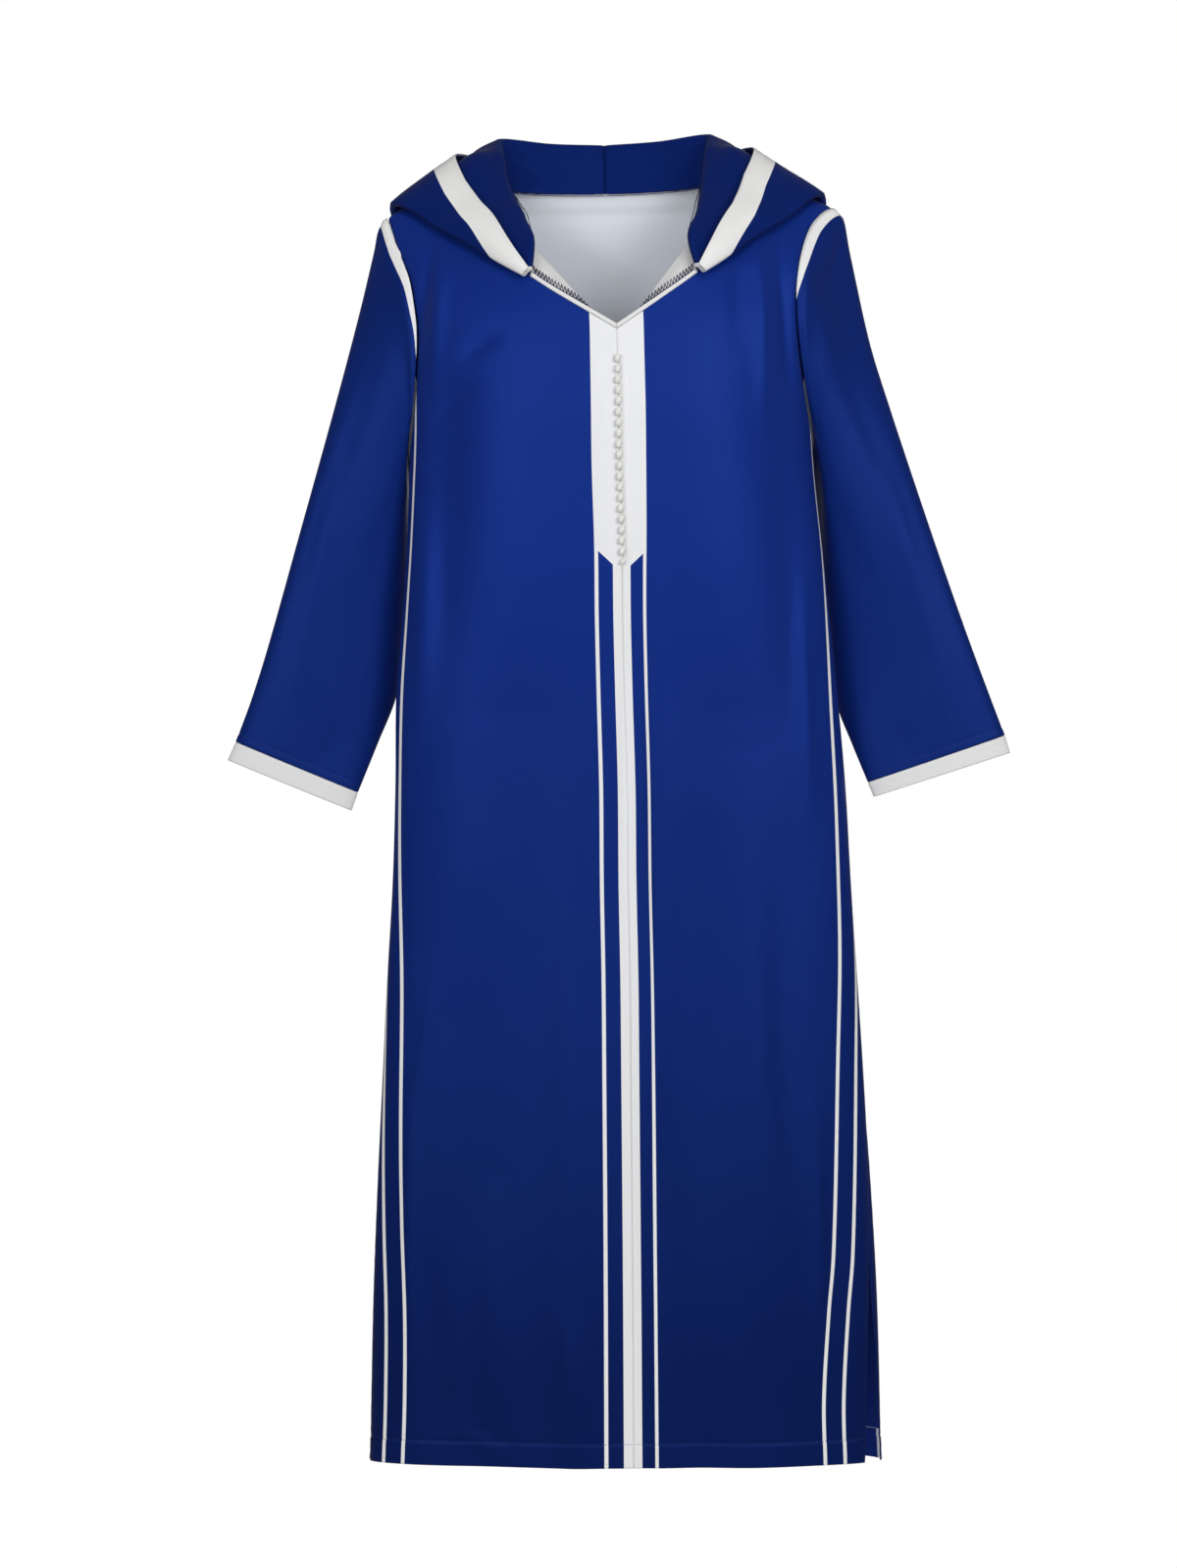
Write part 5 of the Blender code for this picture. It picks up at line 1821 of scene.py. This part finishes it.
class Slit:
    """The bindings, facings and overlocking of the neck slit."""

    def __init__(self, garment: Garment, sizes: SlitSizes) -> None:
        """Keeps what the slit is built from."""
        self.garment, self.sizes = garment, sizes
        self.form, self.seams = garment.form, garment.seams

    def mitred(self, side: Side, edge: Array, line: Array) -> Array:
        """A line beside the slit's edge, slid back along it where it would cross the centre."""
        middle = self.form.column("middle", line[:, 2])
        down = unit(np.gradient(edge, axis=0))
        short = np.maximum(0, 0.3 - side.sign * (line[:, 0] - middle))
        return line - down * (short / (-side.sign * down[:, 0]))[:, None]

    def binding(self, side: Side) -> tuple[Cloth, Array]:
        """The rolled binding: an ellipse swept down the slit's edge."""
        s = self.sizes
        points, across, normal = self.seams.slit_edge(side, np.linspace(0, 1, s.rows + 1))
        inner = self.mitred(side, points, points + across * s.gap)
        outer = self.mitred(side, points, points + across * (s.gap + s.width))
        turn = np.linspace(0, 2 * math.pi, s.round_it, endpoint=False)[None, :, None]
        middle = ((inner + outer) / 2 + normal * s.thick / 2)[:, None]
        half = ((outer - inner) / 2)[:, None]
        grid = middle + half * np.cos(turn) + normal[:, None] * (s.thick / 2) * np.sin(turn)
        run = np.broadcast_to(travelled(points)[:, None], (s.rows + 1, s.round_it + 1))
        around = np.broadcast_to(np.linspace(0, 11, s.round_it + 1), run.shape)
        uv = np.stack([around, run], axis=-1)
        cloth = Cloth(f"robe_slit_binding_{side.value}", grid, uv)
        return cloth, grid - middle

    def facing_share(self) -> Array:
        """Shares down the slit where the facing's rows start."""
        return np.linspace(self.sizes.facing_from, self.sizes.facing_to, self.sizes.rows + 1)

    def facing(self, side: Side) -> tuple[Cloth, Array]:
        """The facing: straight lines from behind the binding to its free edge inside."""
        s = self.sizes
        points, across, normal = self.seams.slit_edge(side, self.facing_share())
        start = points + across * 1.0 - normal * (self.form.sizes.cloth + 0.6)
        angle, z = self.seams.inner_edge(side, np.array([s.facing_top]))
        top = self.form.point(angle, z)[0] + (0, 1.5, -2.0)
        bottom = start[-1] + np.array([0.0, 5.0, -2.0])
        down = np.linspace(0, 1, s.rows + 1)
        free = top + (bottom - top) * down[:, None]
        t = np.linspace(0, 1, s.facing_columns + 1)[None, :, None]
        grid = start[:, None] * (1 - t) + free[:, None] * t
        wave = np.sin(math.pi * t[..., 0]) * np.sin(math.pi * down[:, None])
        wave = wave * np.sin(9 * down[:, None] + 4 * t[..., 0])
        grid = grid + np.array([0, s.facing_wave, 0]) * wave[..., None]
        uv = np.stack([travelled(grid, axis=1), travelled(grid, axis=0)], axis=-1)
        out = np.broadcast_to(normal[:, None], grid.shape)
        return Cloth(f"robe_slit_facing_{side.value}", grid, uv), out

    def overlock(self, cloth: Cloth, out: Array) -> Shape:
        """Overlocking on a facing, set by the width that shows from in front."""
        s = self.sizes
        start, free = cloth.grid[:, 0], cloth.grid[:, -1]
        lift = grid_normals(cloth.grid)[:, 4]
        lift = lift * np.sign(np.sum(lift * out[:, 4], axis=-1, keepdims=True))
        run = unit(np.gradient(start, axis=0) * (1, 0, 1))
        square = np.stack([-run[:, 2], 0 * run[:, 0], run[:, 0]], -1)
        seen = np.maximum(np.abs(np.sum((free - start) * square, axis=-1)), 0.1)[:, None]
        near = np.minimum(s.overlock_from / seen, 0.45)
        wide = np.minimum(s.overlock_width / seen, 0.4)
        line = start + (free - start) * near + lift * s.overlock_lift
        return zigzag(line[1:-2], ((free - start) * wide)[1:-2], 2.0, 1.3, 0.65)

    def build(self) -> Pieces:
        """Builds both bindings, both facings and their overlocking.

        Returns:
            The pieces by name.
        """
        finishes, made, overlock = self.garment.finishes, {}, []
        for side in Side:
            cloth, out = self.binding(side)
            node = f"slit_binding_{side.value}"
            made[node] = self.garment.sewn(
                cloth, [finishes.white, finishes.white], out, [node], "white_cloth"
            )
            cloth, out = self.facing(side)
            overlock.append(self.overlock(cloth, out))
            node = f"slit_facing_{side.value}"
            made[node] = self.garment.sewn(
                cloth, [finishes.white, finishes.white], out, [node], "white_cloth"
            )
        made["slit_overlock"] = self.garment.thread(
            "slit_overlock", overlock, finishes.navy, "blue_cloth"
        )
        return made


@dataclass(frozen=True)
class ButtonSizes:
    """The row of knot buttons, in millimetres."""

    count: int = 20
    top_z: float = -148.0
    pitch: float = 11.25
    across: float = 3.7
    deep: float = 2.7
    tall: float = 4.7
    clearance: float = 0.9
    tilt: float = 0.38
    loop_radius: float = 0.5
    swell: float = 0.07
    strands: int = 3
    twist: float = 2.6
    last_size: float = 0.7
    sway: float = 0.25


class Buttons:
    """The knotted buttons and the cord loops that fasten them."""

    def __init__(self, garment: Garment, sizes: ButtonSizes) -> None:
        """Keeps what the buttons are built from."""
        self.garment, self.sizes = garment, sizes

    def knot(self) -> Shape:
        """A knot: an ellipsoid whose radius swells in three strands that wind round it.

        Returns:
            Points about the knot's centre, and faces.
        """
        s, rows, turns = self.sizes, 13, 20
        down = np.linspace(0.02, math.pi - 0.02, rows)[:, None]
        turn = np.linspace(0, 2 * math.pi, turns, endpoint=False)[None]
        swell = 1 - s.swell + s.swell * np.cos(s.strands * turn + s.twist * down)
        x = s.across * np.sin(down) * np.cos(turn) * swell
        y = s.deep * np.sin(down) * np.sin(turn) * swell
        z = s.tall * np.cos(down) * swell * np.ones_like(turn)
        lean_x = x * math.cos(s.tilt) + z * math.sin(s.tilt)
        lean_z = z * math.cos(s.tilt) - x * math.sin(s.tilt)
        points = np.stack([lean_x, y, lean_z], -1).reshape(-1, 3)
        i, j = np.meshgrid(np.arange(rows - 1), np.arange(turns), indexing="ij")
        k = (j + 1) % turns
        ends = [i * turns + j, (i + 1) * turns + j, (i + 1) * turns + k, i * turns + k]
        faces = np.stack(ends, -1)
        return points, faces.reshape(-1, 4)

    def loop(self) -> Shape:
        """A loop of cord beside a knot, about the knot's centre."""
        s = self.sizes
        turn = np.linspace(-0.9, 2.1, 12)
        level = -s.pitch / 2 + 3.4 * np.sin(turn)
        path = np.stack([1.2 + 2.9 * np.cos(turn), 1.2 - 0.9 * np.cos(turn), level], -1)
        return tube(path, s.loop_radius, 6)

    def build(self) -> Pieces:
        """Builds the row as one mesh.

        Returns:
            The piece by name.
        """
        s, form = self.sizes, self.garment.form
        z = s.top_z - s.pitch * np.arange(s.count)
        seat, out = form.point(np.zeros(s.count), z), form.normal(np.zeros(s.count), z)
        centres = seat + out * (form.sizes.cloth + s.deep + s.clearance)
        last = np.where(np.arange(s.count) == s.count - 1, s.last_size, 1.0)
        knot, knot_faces = self.knot()
        loop, loop_faces = self.loop()
        sway = s.sway * np.sin(2.1 * np.arange(s.count))[:, None] * np.array([1.0, 0, 0])
        knots = zip(centres + sway, last, strict=True)
        shapes = [(knot * size + centre, knot_faces) for centre, size in knots]
        shapes += [(loop + centre, loop_faces) for centre in centres[:-1]]
        knot_finish = self.garment.finishes.knot
        piece = self.garment.thread("robe_buttons", shapes, knot_finish, "button_cloth")
        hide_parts(*[f"button_{i + 1:02d}" for i in range(s.count)])
        return {"buttons": piece}


# ---------------------------------------------------------------- sheets, light and camera


class Cut(NamedTuple):
    """A piece's cut: flat width and length, and its flat area, in metres; what it hangs on."""

    width: float
    length: float
    area: float
    hangs_on: tuple[str, ...]


CUTS = {
    "back": Cut(0.66, 1.40, 0.85, ("front_left", "front_right")),
    "front_left": Cut(0.30, 1.38, 0.38, ("back",)),
    "front_right": Cut(0.30, 1.38, 0.36, ("back",)),
    "sleeve_left": Cut(0.54, 0.58, 0.165, ("front_left", "back")),
    "sleeve_right": Cut(0.54, 0.58, 0.170, ("front_right", "back")),
    "cuff_left": Cut(0.29, 0.022, 0.0062, ("sleeve_left",)),
    "cuff_right": Cut(0.29, 0.022, 0.0062, ("sleeve_right",)),
    "hood_outer_left": Cut(0.40, 0.52, 0.170, ("back", "front_left")),
    "hood_outer_right": Cut(0.40, 0.52, 0.170, ("back", "front_right")),
    "hood_lining_left": Cut(0.40, 0.52, 0.167, ("back", "front_left")),
    "hood_lining_right": Cut(0.40, 0.52, 0.167, ("back", "front_right")),
    "slit_binding_left": Cut(0.011, 0.11, 0.0012, ("front_left",)),
    "slit_binding_right": Cut(0.011, 0.11, 0.0012, ("front_right",)),
    "slit_facing_left": Cut(0.06, 0.10, 0.003, ("front_left",)),
    "slit_facing_right": Cut(0.06, 0.10, 0.003, ("front_right",)),
}


def declare_sheets(pieces: dict[str, bpy.types.Object]) -> None:
    """Logs each cloth piece's area as shown beside its stated flat area, and looks up what it hangs
    on.
    """
    for node, cut in CUTS.items():
        area = sum(p.area for p in pieces[node].data.polygons)
        log.info("%s: %.4f square metres as shown, %.4f stated", node, area, cut.area)
        [pieces[name] for name in cut.hangs_on]


class Lamp(NamedTuple):
    """A soft square lamp: its place and size in metres, and its power in watts."""

    name: str
    place: tuple[float, float, float]
    size: float
    power: float


class Studio:
    """A pale floor, soft lights and the camera."""

    EYE = (-0.0265, -4.2, -0.598)
    LENS = 89.2
    AIM = (0, 0, -0.45)
    FLOOR_RADIUS = 0.85
    FLOOR_Z = -1.62
    SURROUND = 0.18
    LAMPS = (
        Lamp("key", (1.5, -2.5, 0.15), 1.2, 33),
        Lamp("fill", (-1.5, -2.9, 0.0), 1.4, 33),
        Lamp("front", (0.06, -3.2, -0.1), 2.0, 17),
        Lamp("top", (0.2, -1.9, 1.6), 0.8, 9),
        Lamp("rim", (0.4, 2.7, 0.1), 1.8, 46),
    )

    def floor(self) -> None:
        """A plain pale floor, well below the hem."""
        bpy.ops.mesh.primitive_circle_add(
            vertices=96,
            radius=self.FLOOR_RADIUS,
            fill_type="NGON",
            location=(0, 0, self.FLOOR_Z),
        )
        floor = bpy.context.object
        floor.name = "studio_floor"
        material = bpy.data.materials.new("studio_paper")
        material.use_nodes = True
        shader = material.node_tree.nodes["Principled BSDF"]
        shader.inputs["Base Color"].default_value = (0.9, 0.9, 0.9, 1)
        shader.inputs["Roughness"].default_value = 0.9
        floor.data.materials.append(material)
        floor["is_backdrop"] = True

    def light(self, given: Lamp) -> None:
        """One lamp, turned to face the robe's middle."""
        data = bpy.data.lights.new(given.name, "AREA")
        data.size, data.energy = given.size, given.power
        lamp = bpy.data.objects.new(given.name, data)
        lamp.location = given.place
        aim = np.array(self.AIM) - np.array(given.place)
        lamp.rotation_euler = Vector(aim).to_track_quat("-Z", "Y").to_euler()
        bpy.context.scene.collection.objects.link(lamp)

    def world(self) -> None:
        """A white surround that lights less than it shows."""
        world = bpy.data.worlds.new("studio")
        world.use_nodes = True
        g = Graph(world.node_tree)
        background = world.node_tree.nodes["Background"]
        seen = g.add("LightPath").outputs["Is Camera Ray"]
        shown = g.math("MULTIPLY", seen, 1 - self.SURROUND)
        strength = g.math("ADD", shown, self.SURROUND)
        world.node_tree.links.new(strength, background.inputs["Strength"])
        background.inputs["Color"].default_value = (1, 1, 1, 1)
        bpy.context.scene.world = world

    def camera(self) -> None:
        """A level camera on the front, a little left of the middle."""
        data = bpy.data.cameras.new("front")
        data.lens, data.sensor_width = self.LENS, 36.0
        data.clip_start, data.clip_end = 0.1, 60.0
        camera = bpy.data.objects.new("front", data)
        camera.location = self.EYE
        camera.rotation_euler = (math.pi / 2, 0, 0)
        bpy.context.scene.collection.objects.link(camera)
        bpy.context.scene.camera = camera
        bpy.context.scene.view_settings.view_transform = "Standard"

    def build(self) -> None:
        """Sets everything up."""
        self.floor()
        self.world()
        for lamp in self.LAMPS:
            self.light(lamp)
        self.camera()


def corners() -> list[list[float]]:
    """The shown object's lowest and highest corners, as lists."""
    return [list(corner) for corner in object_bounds()]


def main() -> None:
    """Builds the robe's pieces in the order a maker would sew them, then the studio."""
    logging.basicConfig(level=logging.INFO, format="%(name)s: %(message)s")
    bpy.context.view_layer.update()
    form = BodyForm()
    garment = Garment(form, Seams(form), Finishes())
    pieces = Panels(garment, PanelSizes()).build()
    pieces |= Sleeves(garment, SleeveSizes()).build()
    pieces |= Hood(garment, HoodSizes()).build()
    pieces |= Slit(garment, SlitSizes()).build()
    pieces |= Buttons(garment, ButtonSizes()).build()
    declare_sheets(pieces)
    Studio().build()


if __name__ == "__main__":
    main()
